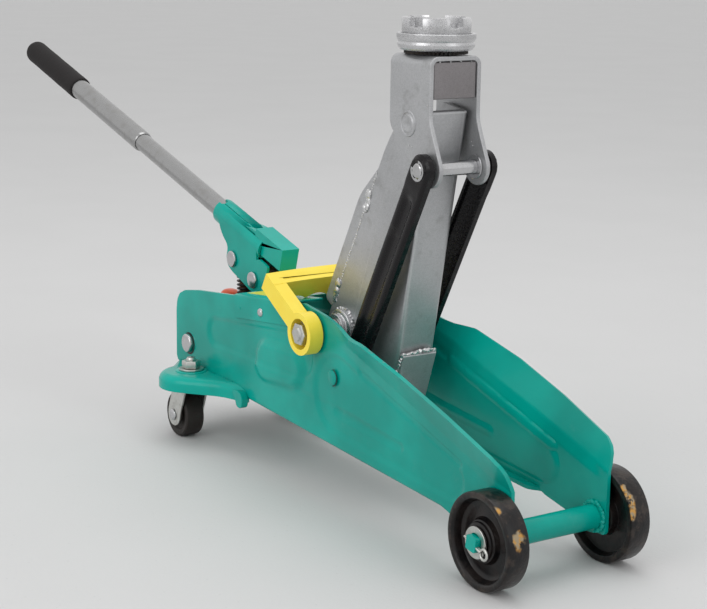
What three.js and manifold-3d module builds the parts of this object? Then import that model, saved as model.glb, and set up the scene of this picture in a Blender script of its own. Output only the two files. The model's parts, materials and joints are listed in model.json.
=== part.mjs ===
// Two-tonne trolley jack, drawn with its arm raised. Millimetres, +Z up, +X towards the front wheels.
// While it is drawn, the front axle is above X = 0 and the floor is Z = 0.
import * as THREE from 'three';
import { mergeVertices } from 'three/addons/utils/BufferGeometryUtils.js';
import Module from 'manifold-3d';

const wasm = await Module();
wasm.setup();

const rad = THREE.MathUtils.degToRad;

// Clearances
const runningFit = 0.3;
const faceGap = 0.3;
const openPivotGap = 1.4;

// Front wheels and their axle
const wheelRadius = 32;
const wheelWidth = 16.5;
const wheelSideGap = 0.8;
const wheelTopGap = 3.2;
const stubRadius = 6;
const axleRadius = 8.2;

// Side plates
const plateThickness = 2.6;
const plateInner = 38.2;
const frontEdge = 10.9;
const rearEdge = -433;
const bottomFront = { x: -56, z: 33 };
const bottomRear = { x: -425, z: 52.5 };
const rearTop = { x: -395, z: 119 };
const flangeWidth = 17;
const flangeFrontAngle = 14;
const flangeRearAngle = 27;
const bottomFlangeEdge = 32.5;
const rearCornerRadius = 20;

// Lift arm and its shaft
const shaftX = -220.3;
const shaftZ = 119.8;
const shaftRadius = 8;
const threadRadius = 5.2;
const armLength = 179;
const armAngle = 62;
const armHalfWidth = 15.2;
const armWall = 3;
const armBack = 21;
const armTaper = 0.3213;
const armTopDepth = 11;
const armTopReach = 16;
const bossRadius = 14.5;

// Saddle head and the levelling links
const headHalfWidth = 21;
const headWall = 3.2;
const headBlockBottom = 17.6;
const headBlockRise = 13.9;
const headBlockFlat = 3;
const headHeight = 45.8;
const headFront = 24.1;
const headRear = -22;
const headPinRadius = 6;
const linkOffsetX = 24.7;
const linkOffsetZ = -28.3;
const linkPinRadius = 5;
const linkHalfWidth = 10.8;
const linkInner = 23.6;
const linkDepth = 6.2;
const linkWall = 2.4;
const headEyeRadius = 12.5;
const saddleOffset = 1;
const saddleRadius = 26.7;
const saddleRingHeight = 10;
const crownRadius = 23.3;
const crownHeight = 12;
const prongs = 5;
const crownTurn = rad(-123.6);
const stemRadius = 8;

// Ram
const leverRadius = 45;
const leverAngle = -50;
const rollerRadius = 6;
const ramRadius = 10;
const ramZ = 82;
const ramHeadThickness = 7;
const cylinderRadius = 27;
const cylinderFront = -272;
const blockFront = -345;

// Pump block, plunger and handle socket
const blockRear = -428;
const blockHalfWidth = 30;
const blockTop = 104;
const blockBottom = 58;
const lugSideGap = 0.9;
const pivotX = -358.9;
const pivotZ = 131;
const socketPinRadius = 5;
const socketPinHead = 6.6;
const plungerPinReach = 34.9;
const plungerPinRise = 2.2;
const plungerX = -390;
const plungerRadius = 5;
const plungerRollerRadius = 6;
const rearPinX = -411.4;
const rearPinZ = 72.2;
const rearPinRadius = 6;

// Handle
const handleTilt = 15.6;
const handleOffset = 25.5;
const lowerTubeRadius = 7.8;
const upperTubeWall = 1.1;
const tubeWall = 1.4;
const socketWall = 2.2;
const socketLength = 76;
const tubeEnd = 48;
const tubeStep = 228;
const tubeOverlap = 40;
const gripStart = 363;
const gripEnd = 474;
const gripWall = 1.6;

// Carry handle
const eyeRadius = 15.5;
const eyeWidth = 11;
const eyeFloor = 4;
const carryAngle = 151;
const carryReach = 51;
const carryBow = 6.5;
const barDepth = 20;
const barThickness = 13;
const shaftWasherWidth = 1.3;

// Top cover
const coverRear = -335;
const coverFront = -250;
const coverSheet = 1.2;
const flapDepth = 17;

// Casters
const casterRadius = 18.3;
const casterWidth = 16;
const casterX = -386;
const casterSideGap = 0.8;
const casterTrail = 10.5;
const casterAxleRadius = 3;
const forkGap = 1.1;
const forkSheet = 1.8;
const wingTop = 56;
const wingSheet = 2.6;
const wingSkirt = 12;
const wingRadius = 26;
const wingReach = 70;

const plateOuter = plateInner + plateThickness;
const wheelInner = plateOuter + wheelSideGap;
const wheelOuter = wheelInner + wheelWidth;
const casterY = plateOuter + casterSideGap + casterWidth / 2 + forkGap + forkSheet;
const upperTubeRadius = lowerTubeRadius + runningFit + upperTubeWall;
const gripRadius = upperTubeRadius + gripWall;
const socketBore = lowerTubeRadius + 2 * runningFit;
const lugHalfWidth = socketBore - lugSideGap;
const padHalfWidth = lugHalfWidth - 1;

// ---- Solids ----

function solid(geometry) {
  const bare = geometry.clone();
  bare.deleteAttribute('normal');
  bare.deleteAttribute('uv');
  const welded = mergeVertices(bare, 1e-4);
  return new wasm.Manifold(new wasm.Mesh({
    numProp: 3,
    vertProperties: new Float32Array(welded.attributes.position.array),
    triVerts: new Uint32Array(welded.index.array),
  }));
}

function geometryOf(body) {
  const mesh = body.getMesh();
  const geometry = new THREE.BufferGeometry();
  geometry.setAttribute('position', new THREE.BufferAttribute(mesh.vertProperties, 3));
  geometry.setIndex(new THREE.BufferAttribute(mesh.triVerts, 1));
  return geometry;
}

function shapeOf(points) {
  return new THREE.Shape(points.map(([a, b]) => new THREE.Vector2(a, b)));
}

// An outline in X and Z, made solid from y0 to y1.
function slabY(shape, y0, y1, curveSegments = 5) {
  const geometry = new THREE.ExtrudeGeometry(shape, { depth: y1 - y0, bevelEnabled: false, curveSegments });
  geometry.rotateX(Math.PI / 2);
  geometry.translate(0, y1, 0);
  return solid(geometry);
}

// An outline in Y and Z, made solid from x0 to x1.
function slabX(shape, x0, x1, curveSegments = 4) {
  const geometry = new THREE.ExtrudeGeometry(shape, { depth: x1 - x0, bevelEnabled: false, curveSegments });
  geometry.rotateX(Math.PI / 2);
  geometry.rotateZ(Math.PI / 2);
  geometry.translate(x0, 0, 0);
  return solid(geometry);
}

// An outline in X and Y, made solid from z0 to z1.
function slabZ(shape, z0, z1, curveSegments = 5) {
  const geometry = new THREE.ExtrudeGeometry(shape, { depth: z1 - z0, bevelEnabled: false, curveSegments });
  geometry.translate(0, 0, z0);
  return solid(geometry);
}

function block(x0, x1, y0, y1, z0, z1) {
  const geometry = new THREE.BoxGeometry(x1 - x0, y1 - y0, z1 - z0);
  geometry.translate((x0 + x1) / 2, (y0 + y1) / 2, (z0 + z1) / 2);
  return solid(geometry);
}

function rodY(radius, y0, y1, x = 0, z = 0, segments = 14) {
  const geometry = new THREE.CylinderGeometry(radius, radius, y1 - y0, segments);
  geometry.translate(x, (y0 + y1) / 2, z);
  return solid(geometry);
}

function rodX(radius, x0, x1, y = 0, z = 0, segments = 20) {
  const geometry = new THREE.CylinderGeometry(radius, radius, x1 - x0, segments);
  geometry.rotateZ(Math.PI / 2);
  geometry.translate((x0 + x1) / 2, y, z);
  return solid(geometry);
}

function rodZ(radius, z0, z1, x = 0, y = 0, segments = 14) {
  const geometry = new THREE.CylinderGeometry(radius, radius, z1 - z0, segments);
  geometry.rotateX(Math.PI / 2);
  geometry.translate(x, y, (z0 + z1) / 2);
  return solid(geometry);
}

// A turned piece: pairs of radius and place along the axis, from the axis back to it, or a closed ring.
function turned(profile, segments) {
  return new THREE.LatheGeometry(profile.map(([r, a]) => new THREE.Vector2(r, a)), segments);
}

function turnedY(profile, segments = 14) {
  return turned(profile, segments);
}

function turnedX(profile, segments = 16) {
  return turned(profile, segments).rotateZ(-Math.PI / 2);
}

function turnedZ(profile, segments = 14) {
  return turned(profile, segments).rotateX(Math.PI / 2);
}

function hexNut(acrossFlats, height, boreRadius) {
  const nut = new THREE.CylinderGeometry(acrossFlats / Math.sqrt(3), acrossFlats / Math.sqrt(3), height, 6);
  const bore = new THREE.CylinderGeometry(boreRadius, boreRadius, height + 2, 12);
  return solid(nut).subtract(solid(bore));
}

// ---- Materials ----

const finishes = {
  greenPaint: [0x0f8f7c, 0.3, 0.15],
  silverPaint: [0xa4a6a8, 0.42, 0.6],
  blackPaint: [0x1c1a1d, 0.38, 0.2],
  chrome: [0xd4d5d6, 0.18, 1],
  zinc: [0xc8c9c6, 0.35, 0.9],
  castIron: [0x4a3a30, 0.7, 0.4],
  wheelBlack: [0x221f1f, 0.5, 0.1],
  rubber: [0x1b1819, 0.85, 0],
  yellowPlastic: [0xf3d233, 0.45, 0],
  plugRed: [0xd4562e, 0.4, 0],
};

function piece(name, shape, finish, place = [0, 0, 0]) {
  const geometry = shape.isBufferGeometry ? shape : geometryOf(shape);
  const [color, roughness, metalness] = finishes[finish];
  const mesh = new THREE.Mesh(geometry, new THREE.MeshStandardMaterial({ color, roughness, metalness }));
  mesh.name = name;
  mesh.position.set(...place);
  return mesh;
}

function assembly(place, tilt, pieces) {
  const group = new THREE.Group();
  group.position.set(...place);
  group.rotation.y = tilt;
  group.add(...pieces);
  return group;
}

function mirrorY(body) {
  return body.mirror([0, 1, 0]);
}

// Each side: the word for it, and the sign of its Y. The jack's right side has negative Y.
const sides = [['right', -1], ['left', 1]];

// ---- Frame ----

const creaseZ = 2 * wheelRadius + wheelTopGap;
const creaseRear = { x: shaftX + 70, z: shaftZ - 8 };
const creaseAngle = Math.atan2(creaseRear.z - creaseZ, -creaseRear.x);
const lowerPin = { x: shaftX + linkOffsetX, z: shaftZ + linkOffsetZ };
const topSlope = (shaftZ + 17.2 - rearTop.z) / (shaftX - 14 - rearTop.x);

function plateTopAt(x) {
  return rearTop.z + (x - rearTop.x) * topSlope;
}

function plateOutline() {
  const shape = new THREE.Shape();
  const lobe = axleRadius + 2.5;
  shape.moveTo(frontEdge, wheelRadius - lobe + 4);
  shape.lineTo(frontEdge, creaseZ - frontEdge * Math.tan(creaseAngle));
  shape.lineTo(creaseRear.x, creaseRear.z);
  shape.quadraticCurveTo(shaftX + 30, shaftZ + 15, shaftX + 12, shaftZ + 16.2);
  shape.lineTo(shaftX - 14, shaftZ + 17.2);
  shape.lineTo(rearTop.x, rearTop.z);
  shape.quadraticCurveTo(rearEdge + 2, rearTop.z - 5, rearEdge, rearTop.z - 12 - rearCornerRadius / 2);
  shape.lineTo(rearEdge, bottomRear.z + 4);
  shape.lineTo(rearEdge + 4, bottomRear.z);
  shape.lineTo(bottomRear.x, bottomRear.z);
  shape.lineTo(bottomFront.x, bottomFront.z);
  shape.lineTo(-lobe - 10, wheelRadius - 6);
  shape.quadraticCurveTo(-4, wheelRadius - lobe - 1, 4, wheelRadius - lobe);
  shape.lineTo(frontEdge - 1, wheelRadius - lobe);
  return shape;
}

// The top flange leans out over the wheel from the crease line, and leans less towards the front.
function topFlange() {
  const length = Math.hypot(frontEdge - creaseRear.x, creaseZ - creaseRear.z);
  const shape = new THREE.Shape();
  shape.moveTo(-28, 0);
  shape.lineTo(0, 0);
  shape.lineTo(length - 2, 0);
  shape.lineTo(length - 5, flangeWidth - 6);
  shape.quadraticCurveTo(length - 8, flangeWidth - 1, length - 18, flangeWidth);
  shape.lineTo(length * 0.6, flangeWidth + 3);
  shape.lineTo(length * 0.3, flangeWidth + 3.5);
  shape.lineTo(0, flangeWidth);
  shape.lineTo(-20, 8);
  const geometry = new THREE.ExtrudeGeometry(shape, { depth: plateThickness, bevelEnabled: false, curveSegments: 5 });
  geometry.translate(0, 0, -plateThickness);
  const place = geometry.attributes.position;
  for (let i = 0; i < place.count; i++) {
    const lean = rad(THREE.MathUtils.mapLinear(place.getX(i), 0, length, flangeRearAngle, flangeFrontAngle));
    const y = place.getY(i);
    const z = place.getZ(i);
    place.setY(i, y * Math.cos(lean) - z * Math.sin(lean));
    place.setZ(i, y * Math.sin(lean) + z * Math.cos(lean));
  }
  geometry.rotateY(creaseAngle);
  geometry.translate(creaseRear.x, plateInner, creaseRear.z);
  return solid(geometry);
}

function bottomFlange() {
  const slope = (bottomRear.z - bottomFront.z) / (bottomFront.x - bottomRear.x);
  const shape = shapeOf([
    [bottomFront.x - 4, bottomFront.z + 4 * slope],
    [bottomFront.x - 4, bottomFront.z + 4 * slope + plateThickness],
    [bottomRear.x, bottomRear.z + plateThickness],
    [bottomRear.x, bottomRear.z],
  ]);
  return slabY(shape, bottomFlangeEdge, plateInner + 1);
}

// The ribs that stiffen the outer face: a long groove's raised lips and the round boss by the cylinder.
function platePressings() {
  const lift = 0.7;
  const boss = new THREE.CylinderGeometry(17, 20, lift, 18);
  boss.translate(shaftX - 46, plateOuter + lift / 2 - 0.01, shaftZ - 34);
  const rib = new THREE.Shape();
  rib.absarc(0, 0, 3.2, Math.PI / 2, 1.5 * Math.PI, false);
  rib.absarc(88, 0, 3.2, -Math.PI / 2, Math.PI / 2, false);
  const bar = new THREE.ExtrudeGeometry(rib, { depth: lift, bevelEnabled: false, curveSegments: 6 });
  bar.rotateX(Math.PI / 2);
  bar.rotateY(rad(3.5));
  bar.translate(shaftX + 28, plateOuter + lift - 0.01, shaftZ - 54);
  return solid(boss).add(solid(bar));
}

function sidePlate() {
  const holes = [
    [stubRadius, 0, wheelRadius],
    [shaftRadius, shaftX, shaftZ],
    [linkPinRadius, lowerPin.x, lowerPin.z],
    [rearPinRadius, rearPinX, rearPinZ],
    [rivetRadius, rivetX, rivetZ],
  ];
  let plate = slabY(plateOutline(), plateInner, plateOuter)
    .add(topFlange())
    .add(bottomFlange())
    .add(platePressings());
  for (const [radius, x, z] of holes) {
    plate = plate.subtract(rodY(radius + runningFit, plateInner - 2, plateOuter + 4, x, z));
  }
  return plate;
}

function frontAxle() {
  const inner = plateInner - faceGap;
  const end = wheelOuter + 5.5;
  const bar = turnedY([
    [0, -end], [stubRadius - 1, -end], [stubRadius, -end + 1], [stubRadius, -inner], [axleRadius, -inner],
    [axleRadius, inner], [stubRadius, inner], [stubRadius, end - 1], [stubRadius - 1, end], [0, end],
  ]);
  let axle = solid(bar);
  for (const [, side] of sides) {
    const flatStart = wheelOuter + 2;
    for (const face of [-1, 1]) {
      const y = [side * flatStart, side * (end + 1)].sort((a, b) => a - b);
      const z = [face * (stubRadius - 1.5), face * (stubRadius + 1)].sort((a, b) => a - b);
      axle = axle.subtract(block(-stubRadius - 1, stubRadius + 1, y[0], y[1], z[0], z[1]));
    }
    const pinHole = new THREE.CylinderGeometry(cotterRadius + 0.4, cotterRadius + 0.4, 18, 12);
    pinHole.rotateX(Math.PI / 2);
    pinHole.rotateY(rad(cotterLean));
    pinHole.translate(0, side * cotterY, 0);
    axle = axle.subtract(solid(pinHole));
  }
  return axle;
}

const washerY = wheelOuter + faceGap;
const cotterRadius = 1.3;
const cotterLean = -70;
const cotterY = washerY + 1.6 + faceGap + cotterRadius;

function wheelWasher() {
  const bore = stubRadius + runningFit;
  return turnedY([[bore, 0], [10.5, 0], [10.5, 1.6], [bore, 1.6], [bore, 0]]);
}

// A split pin through the stub, with a ring for its head.
function cotterPin() {
  const ring = new THREE.TorusGeometry(3, cotterRadius, 6, 12);
  ring.rotateX(Math.PI / 2);
  ring.translate(0, 0, -12);
  const pin = solid(ring).add(rodZ(cotterRadius, -9.5, 10, 0, 0, 8));
  return geometryOf(pin).rotateY(rad(cotterLean));
}

function frontWheel() {
  const half = wheelWidth / 2;
  const bore = stubRadius + runningFit;
  const rim = wheelRadius - 4.5;
  return turnedY([
    [bore, -half], [13, -half], [14, -3], [rim - 2, -3], [rim, -half], [wheelRadius - 1.2, -half],
    [wheelRadius, 1.2 - half], [wheelRadius, half - 1.2], [wheelRadius - 1.2, half],
    [rim + 1, half], [rim - 1, 1], [15, 0.5], [12.5, half], [bore, half], [bore, -half],
  ], 32);
}

function armShaft() {
  const shoulder = plateOuter + faceGap + shaftWasherWidth + faceGap + eyeFloor + faceGap;
  const end = shoulder + 9;
  return turnedY([
    [0, -end], [threadRadius, -end], [threadRadius, -shoulder], [shaftRadius, -shoulder],
    [shaftRadius, shoulder], [threadRadius, shoulder], [threadRadius, end], [0, end],
  ]);
}

const shaftWasherY = plateOuter + faceGap;
const eyeY = shaftWasherY + shaftWasherWidth + faceGap;
const shaftNutY = eyeY + eyeFloor + 2 * faceGap;

function shaftWasher() {
  const bore = shaftRadius + runningFit;
  return turnedY([[bore, 0], [13, 0], [13, shaftWasherWidth], [bore, shaftWasherWidth], [bore, 0]]);
}

// A flanged nut whose hexagon stands on a round skirt.
function shaftNut() {
  const bore = threadRadius + runningFit;
  const skirt = solid(turnedY([[bore, 0], [10, 0], [9, 1.8], [bore, 1.8], [bore, 0]]));
  const hex = geometryOf(hexNut(15, 6, bore));
  hex.translate(0, 4.5, 0);
  return skirt.add(solid(hex));
}

function lowerLinkPin() {
  const shoulder = linkInner + linkDepth + 0.6;
  const inner = plateInner - faceGap;
  return turnedY([
    [0, linkInner - 1], [linkPinRadius, linkInner - 1], [linkPinRadius, shoulder], [8, shoulder], [8, inner],
    [linkPinRadius, inner], [linkPinRadius, plateOuter + 0.5], [0, plateOuter + 0.5],
  ], 14);
}

function rearCrossPin() {
  const head = plateOuter + faceGap;
  const half = [
    [rearPinRadius, head], [7.6, head], [7.6, head + 2.6], [6.6, head + 3.2], [0, head + 3.2],
  ];
  const other = half.map(([r, y]) => [r, -y]).reverse();
  return turnedY([...other, ...half]);
}

const rivetRadius = 1.9;
const rivetX = -294;
const rivetZ = plateTopAt(rivetX) - 10;

function coverRivet() {
  const seat = plateOuter + faceGap + coverSheet + faceGap;
  return turnedY([
    [0, plateInner - 0.5], [rivetRadius, plateInner - 0.5], [rivetRadius, seat], [3.2, seat],
    [2.6, seat + 1.2], [0, seat + 1.6],
  ], 16);
}

// The thin cover saddles both side plates and hangs down outside them.
function topCover() {
  const inner = plateOuter + faceGap;
  const outer = inner + coverSheet;
  const profile = shapeOf([
    [-outer, -flapDepth], [-inner, -flapDepth], [-inner, faceGap], [inner, faceGap], [inner, -flapDepth],
    [outer, -flapDepth], [outer, faceGap + coverSheet], [-outer, faceGap + coverSheet],
  ]);
  const shell = geometryOf(slabX(profile, 0, coverFront - coverRear));
  shell.rotateY(-Math.atan(topSlope));
  shell.translate(coverRear, 0, plateTopAt(coverRear));
  const window = block(coverFront - 22, coverFront + 9, -14, 14, shaftZ, shaftZ + 40);
  let cover = solid(shell).subtract(window);
  cover = cover.subtract(rodY(rivetRadius + runningFit, -outer - 2, outer + 2, rivetX, rivetZ, 16));
  return cover;
}

// ---- Hydraulics ----

const plungerBottom = blockTop - 34;
const plugX = rearPinX - 4;
const valveZ = rearPinZ - 3;

function pumpBlock() {
  const body = block(blockRear, blockFront, -blockHalfWidth, blockHalfWidth, blockBottom, blockTop);
  const lug = new THREE.Shape();
  lug.moveTo(pivotX - 9, blockTop - 4);
  lug.lineTo(pivotX - 9, pivotZ);
  lug.absarc(pivotX, pivotZ, 9, Math.PI, 0, true);
  lug.lineTo(blockFront, blockTop - 4);
  const gland = rodZ(9, blockTop - 2, blockTop + 7, plungerX, 0);
  return body
    .add(slabY(lug, -lugHalfWidth, lugHalfWidth, 10))
    .add(gland)
    .subtract(rodY(socketPinRadius + runningFit, -10, 10, pivotX, pivotZ))
    .subtract(rodZ(plungerRadius + runningFit, plungerBottom - 6, blockTop + 9, plungerX, 0))
    .subtract(rodY(rearPinRadius + runningFit, -blockHalfWidth - 2, blockHalfWidth + 2, rearPinX, rearPinZ))
    .subtract(rodZ(5 + runningFit, blockTop - 8, blockTop + 2, plugX, 0))
    .subtract(rodX(4 + runningFit, blockRear - 2, blockRear + 10, 18, valveZ));
}

// The steel tube that holds the oil and, inside it, the pressure cylinder's bore.
function oilCylinder() {
  const rear = blockFront + faceGap;
  const bore = ramRadius + 2;
  return turnedX([
    [0, rear], [cylinderRadius - 1, rear], [cylinderRadius, rear + 1], [cylinderRadius, cylinderFront - 1],
    [cylinderRadius - 1, cylinderFront], [bore, cylinderFront], [bore, rear + 3], [0, rear + 3],
  ], 24);
}

function cylinderGland() {
  const bore = ramRadius + runningFit;
  const rear = cylinderFront + faceGap;
  return turnedX([[bore, rear], [20, rear], [20, rear + 5], [17, rear + 7], [bore, rear + 7], [bore, rear]], 20);
}

function ram() {
  const pinX = shaftX + leverRadius * Math.cos(rad(leverAngle));
  const face = pinX - rollerRadius - openPivotGap;
  const rod = rodX(ramRadius, cylinderFront - 10, face - 1, 0, ramZ, 20);
  const half = armHalfWidth - armWall - 1.5;
  return rod.add(block(face - ramHeadThickness, face, -half, half, ramZ - 14, ramZ + 14));
}

function fillerPlug() {
  return turnedZ([
    [0, -7], [5, -7], [5, faceGap], [8.5, faceGap], [8.5, 4], [7, 6.5], [3.5, 8], [0, 8.4],
  ], 14);
}

function releaseValve() {
  const knob = turnedX([
    [0, 8], [4, 8], [4, -faceGap], [7, -faceGap], [7, -9], [6, -10], [0, -10],
  ].reverse(), 14);
  return solid(knob).subtract(block(-12, -6, -1.5, 1.5, -10, 10));
}

const plungerPinX = pivotX - plungerPinReach * Math.cos(rad(handleTilt)) + plungerPinRise * Math.sin(rad(handleTilt));
const plungerPinZ = pivotZ + plungerPinReach * Math.sin(rad(handleTilt)) + plungerPinRise * Math.cos(rad(handleTilt));
const padTop = plungerPinZ - plungerRollerRadius - openPivotGap;
const padSheet = 4.5;
const padFront = pivotX - 9 - 2.5;

// The plunger's head is long, because the handle's roller rolls along it during a stroke.
function pumpPlunger() {
  const pad = block(plungerPinX - 7, padFront, -padHalfWidth, padHalfWidth, padTop - padSheet, padTop);
  return pad.add(rodZ(plungerRadius, plungerBottom, padTop - 1, plungerX, 0));
}

const springBottom = blockTop + 7 + faceGap;
const springTop = padTop - padSheet - faceGap;

// The return spring, as the sleeve that its coils fill.
function plungerSpring() {
  const inner = plungerRadius + 0.5;
  const height = springTop - springBottom;
  return turnedZ([[inner, 0], [7.2, 0], [7.2, height], [inner, height], [inner, 0]], 14);
}

// ---- Lift arm: X runs up the arm, -Z is its front ----

const lever = {
  s: leverRadius * Math.cos(rad(leverAngle - armAngle)),
  t: -leverRadius * Math.sin(rad(leverAngle - armAngle)),
};
const toeTop = 27;
const toeBottom = -8;

function armFrontAt(s) {
  return armTopDepth + armTaper * (armLength + armTopReach - s);
}

function armOutline() {
  return shapeOf([
    [armLength + 7, 14],
    [armLength + armTopReach, -armTopDepth],
    [toeTop, -armFrontAt(toeTop)],
    [toeBottom, -armFrontAt(toeTop) - 6],
    [lever.s - 8, -lever.t - 10],
    [lever.s - 11, -lever.t + 4],
    [-18, -8],
    [-16, 12],
    [-6, armBack],
    [armLength - 30, armBack],
  ]);
}

function armInside() {
  const front = armWall + 0.4;
  return shapeOf([
    [armLength + 60, 60],
    [armLength + 60, front - armFrontAt(armLength + 60)],
    [toeTop, front - armFrontAt(toeTop)],
    [toeBottom - 40, front - armFrontAt(toeTop) - 6],
    [toeBottom - 40, 60],
  ]);
}

function liftArm() {
  const inner = armHalfWidth - armWall;
  return slabY(armOutline(), -armHalfWidth, armHalfWidth)
    .subtract(slabY(armInside(), -inner, inner))
    .subtract(rodY(shaftRadius + runningFit, -20, 20))
    .subtract(rodY(headPinRadius + runningFit, -20, 20, armLength))
    .subtract(rodY(rollerRadius + runningFit, -20, 20, lever.s, -lever.t));
}

// A shallow folded plate that closes the arm's back, welded along both cheeks.
function armBackPlate() {
  const base = armBack + faceGap;
  const depth = 10;
  const outline = shapeOf([[4, base], [4, base + depth], [98, base + depth], [128, base]]);
  const hollow = shapeOf([[2, base - 1], [2, base + depth - 2.5], [96, base + depth - 2.5], [119, base - 1]]);
  return slabY(outline, -armHalfWidth, armHalfWidth).subtract(slabY(hollow, -armHalfWidth + 2.5, armHalfWidth - 2.5));
}

function armToePlate() {
  const top = armFrontAt(toeTop) + faceGap + 0.1;
  return slabY(shapeOf([
    [toeTop + 3, -top - 3.4],
    [toeBottom, -top - 9.4],
    [toeBottom, -top - 6],
    [toeTop + 3, -top + 0.6],
  ]), -armHalfWidth + 1.3, armHalfWidth - 1.3);
}

function armBoss() {
  const bore = shaftRadius + runningFit;
  const inner = armHalfWidth + faceGap;
  return turnedY([
    [bore, inner], [bossRadius, inner], [bossRadius, inner + 4], [11.5, inner + 4.6], [11.5, inner + 8],
    [bore, inner + 8], [bore, inner],
  ]);
}

function ramRoller() {
  const end = armHalfWidth + 1.5;
  return turnedY([
    [0, -end], [rollerRadius - 0.8, -end], [rollerRadius, -end + 0.8], [rollerRadius, end - 0.8],
    [rollerRadius - 0.8, end], [0, end],
  ]);
}

// ---- Saddle head: its origin is the pivot at the arm's end, and it stays level ----

function headCheekOutline() {
  const shape = new THREE.Shape();
  shape.moveTo(headRear, headHeight + 1);
  shape.lineTo(headRear, -2.7);
  shape.lineTo(linkOffsetX - 9, linkOffsetZ - 8.7);
  shape.absarc(linkOffsetX, linkOffsetZ, headEyeRadius, rad(224), rad(375), false);
  shape.lineTo(headFront + 4.5, -8);
  shape.lineTo(headFront, 1);
  shape.lineTo(headFront, headHeight + 1);
  return shape;
}

function headSection() {
  const corner = 5;
  const outer = new THREE.Shape();
  const bottom = linkOffsetZ - headEyeRadius - 2;
  outer.moveTo(-headHalfWidth, bottom);
  outer.lineTo(-headHalfWidth, headHeight - corner);
  outer.absarc(-headHalfWidth + corner, headHeight - corner, corner, Math.PI, Math.PI / 2, true);
  outer.absarc(headHalfWidth - corner, headHeight - corner, corner, Math.PI / 2, 0, true);
  outer.lineTo(headHalfWidth, bottom);
  const inner = headHalfWidth - headWall;
  const round = corner - headWall;
  outer.lineTo(inner, bottom);
  outer.lineTo(inner, headHeight - corner);
  outer.absarc(inner - round, headHeight - corner, round, 0, Math.PI / 2, false);
  outer.absarc(round - inner, headHeight - corner, round, Math.PI / 2, Math.PI, false);
  outer.lineTo(-inner, bottom);
  return outer;
}

function headBracket() {
  return slabX(headSection(), headRear - 30, headFront + 30)
    .intersect(slabY(headCheekOutline(), -headHalfWidth - 1, headHalfWidth + 1))
    .subtract(rodY(headPinRadius + runningFit, -30, 30))
    .subtract(rodY(linkPinRadius + runningFit, -30, 30, linkOffsetX, linkOffsetZ))
    .subtract(rodZ(stemRadius + runningFit, headHeight - 8, headHeight + 4, saddleOffset, 0, 14));
}

// The block that carries the saddle's stem. Its top corners are cut to clear the bracket's bends, and its
// rear underside is cut away to clear the arm's back when the arm is down.
function headBlock() {
  const half = headHalfWidth - headWall - faceGap;
  const top = headHeight - headWall - faceGap;
  const chamfer = 1.2;
  const section = shapeOf([
    [-half, headBlockBottom], [half, headBlockBottom], [half, top - chamfer], [half - chamfer, top],
    [chamfer - half, top], [-half, top - chamfer],
  ]);
  const underside = shapeOf([
    [headBlockFlat, headBlockBottom - 1],
    [headRear, headBlockBottom + headBlockRise],
    [headRear, headBlockBottom - 1],
  ]);
  return slabX(section, headRear + 3, headFront - 1)
    .subtract(slabY(underside, -half - 1, half + 1))
    .subtract(rodZ(stemRadius + runningFit, 30, top + 2, saddleOffset, 0, 14));
}

function headPivotPin() {
  const end = headHalfWidth + 0.8;
  return turnedY([
    [0, -end], [headPinRadius - 1, -end], [headPinRadius, -end + 1], [headPinRadius, end - 1],
    [headPinRadius - 1, end], [0, end],
  ]);
}

function headLinkPin() {
  const end = linkInner + linkDepth + 1.5;
  return turnedY([
    [0, -end], [linkPinRadius - 0.7, -end], [linkPinRadius, -end + 0.7], [linkPinRadius, end - 0.7],
    [linkPinRadius - 0.7, end], [0, end],
  ]);
}

// ---- Saddle: it turns on its stem ----

function saddleRing() {
  const base = 2.6;
  const stem = -11;
  return turnedZ([
    [0, stem], [stemRadius, stem], [stemRadius, faceGap], [20, faceGap], [20, base], [saddleRadius - 2, base],
    [saddleRadius, base + 2], [saddleRadius - 0.8, base + saddleRingHeight / 2],
    [saddleRadius, base + saddleRingHeight - 2.5], [saddleRadius, base + saddleRingHeight],
    [crownRadius + 0.8, base + saddleRingHeight], [crownRadius + 0.6, base + 3], [0, base + 3],
  ], 28);
}

// The crown is a shallow cup whose wall is notched into prongs.
function saddleCrown() {
  const base = 2.6 + 3 + faceGap;
  const top = 2.6 + saddleRingHeight + crownHeight;
  const floor = base + 9;
  let crown = solid(turnedZ([
    [0, base], [crownRadius, base], [crownRadius, top - 1], [crownRadius - 1, top], [crownRadius - 4.5, top],
    [crownRadius - 5, floor], [0, floor],
  ], 30));
  const notchWidth = 2 * crownRadius * Math.sin(rad(11));
  for (let i = 0; i < prongs; i++) {
    const notch = new THREE.BoxGeometry(notchWidth, 14, 14);
    notch.translate(0, crownRadius, top - 5.5 + 7);
    notch.rotateZ(2 * Math.PI * (i + 0.5) / prongs + crownTurn);
    crown = crown.subtract(solid(notch));
  }
  return crown;
}

// ---- Levelling links ----

function linkOutline(halfWidth) {
  const shape = new THREE.Shape();
  shape.absarc(0, 0, halfWidth, Math.PI / 2, 1.5 * Math.PI, false);
  shape.absarc(armLength, 0, halfWidth, -Math.PI / 2, Math.PI / 2, false);
  return shape;
}

// A pressed channel with its open side inwards, its bosses flat at both ends.
function link() {
  const outer = linkInner + linkDepth;
  const groove = slabY(linkOutline(linkHalfWidth - linkWall), linkInner - 2, outer - linkWall)
    .intersect(block(16, armLength - 16, -20, 20, 0, 60));
  return slabY(linkOutline(linkHalfWidth), linkInner, outer)
    .subtract(groove)
    .subtract(rodY(linkPinRadius + runningFit, linkInner - 2, outer + 2))
    .subtract(rodY(linkPinRadius + 3 * runningFit, linkInner - 2, outer + 2, armLength));
}

// ---- Handle: its origin is the socket's pivot, and -X runs up the handle ----

const socketOuter = socketBore + socketWall;
const cheekInner = socketOuter - socketWall;

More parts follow.
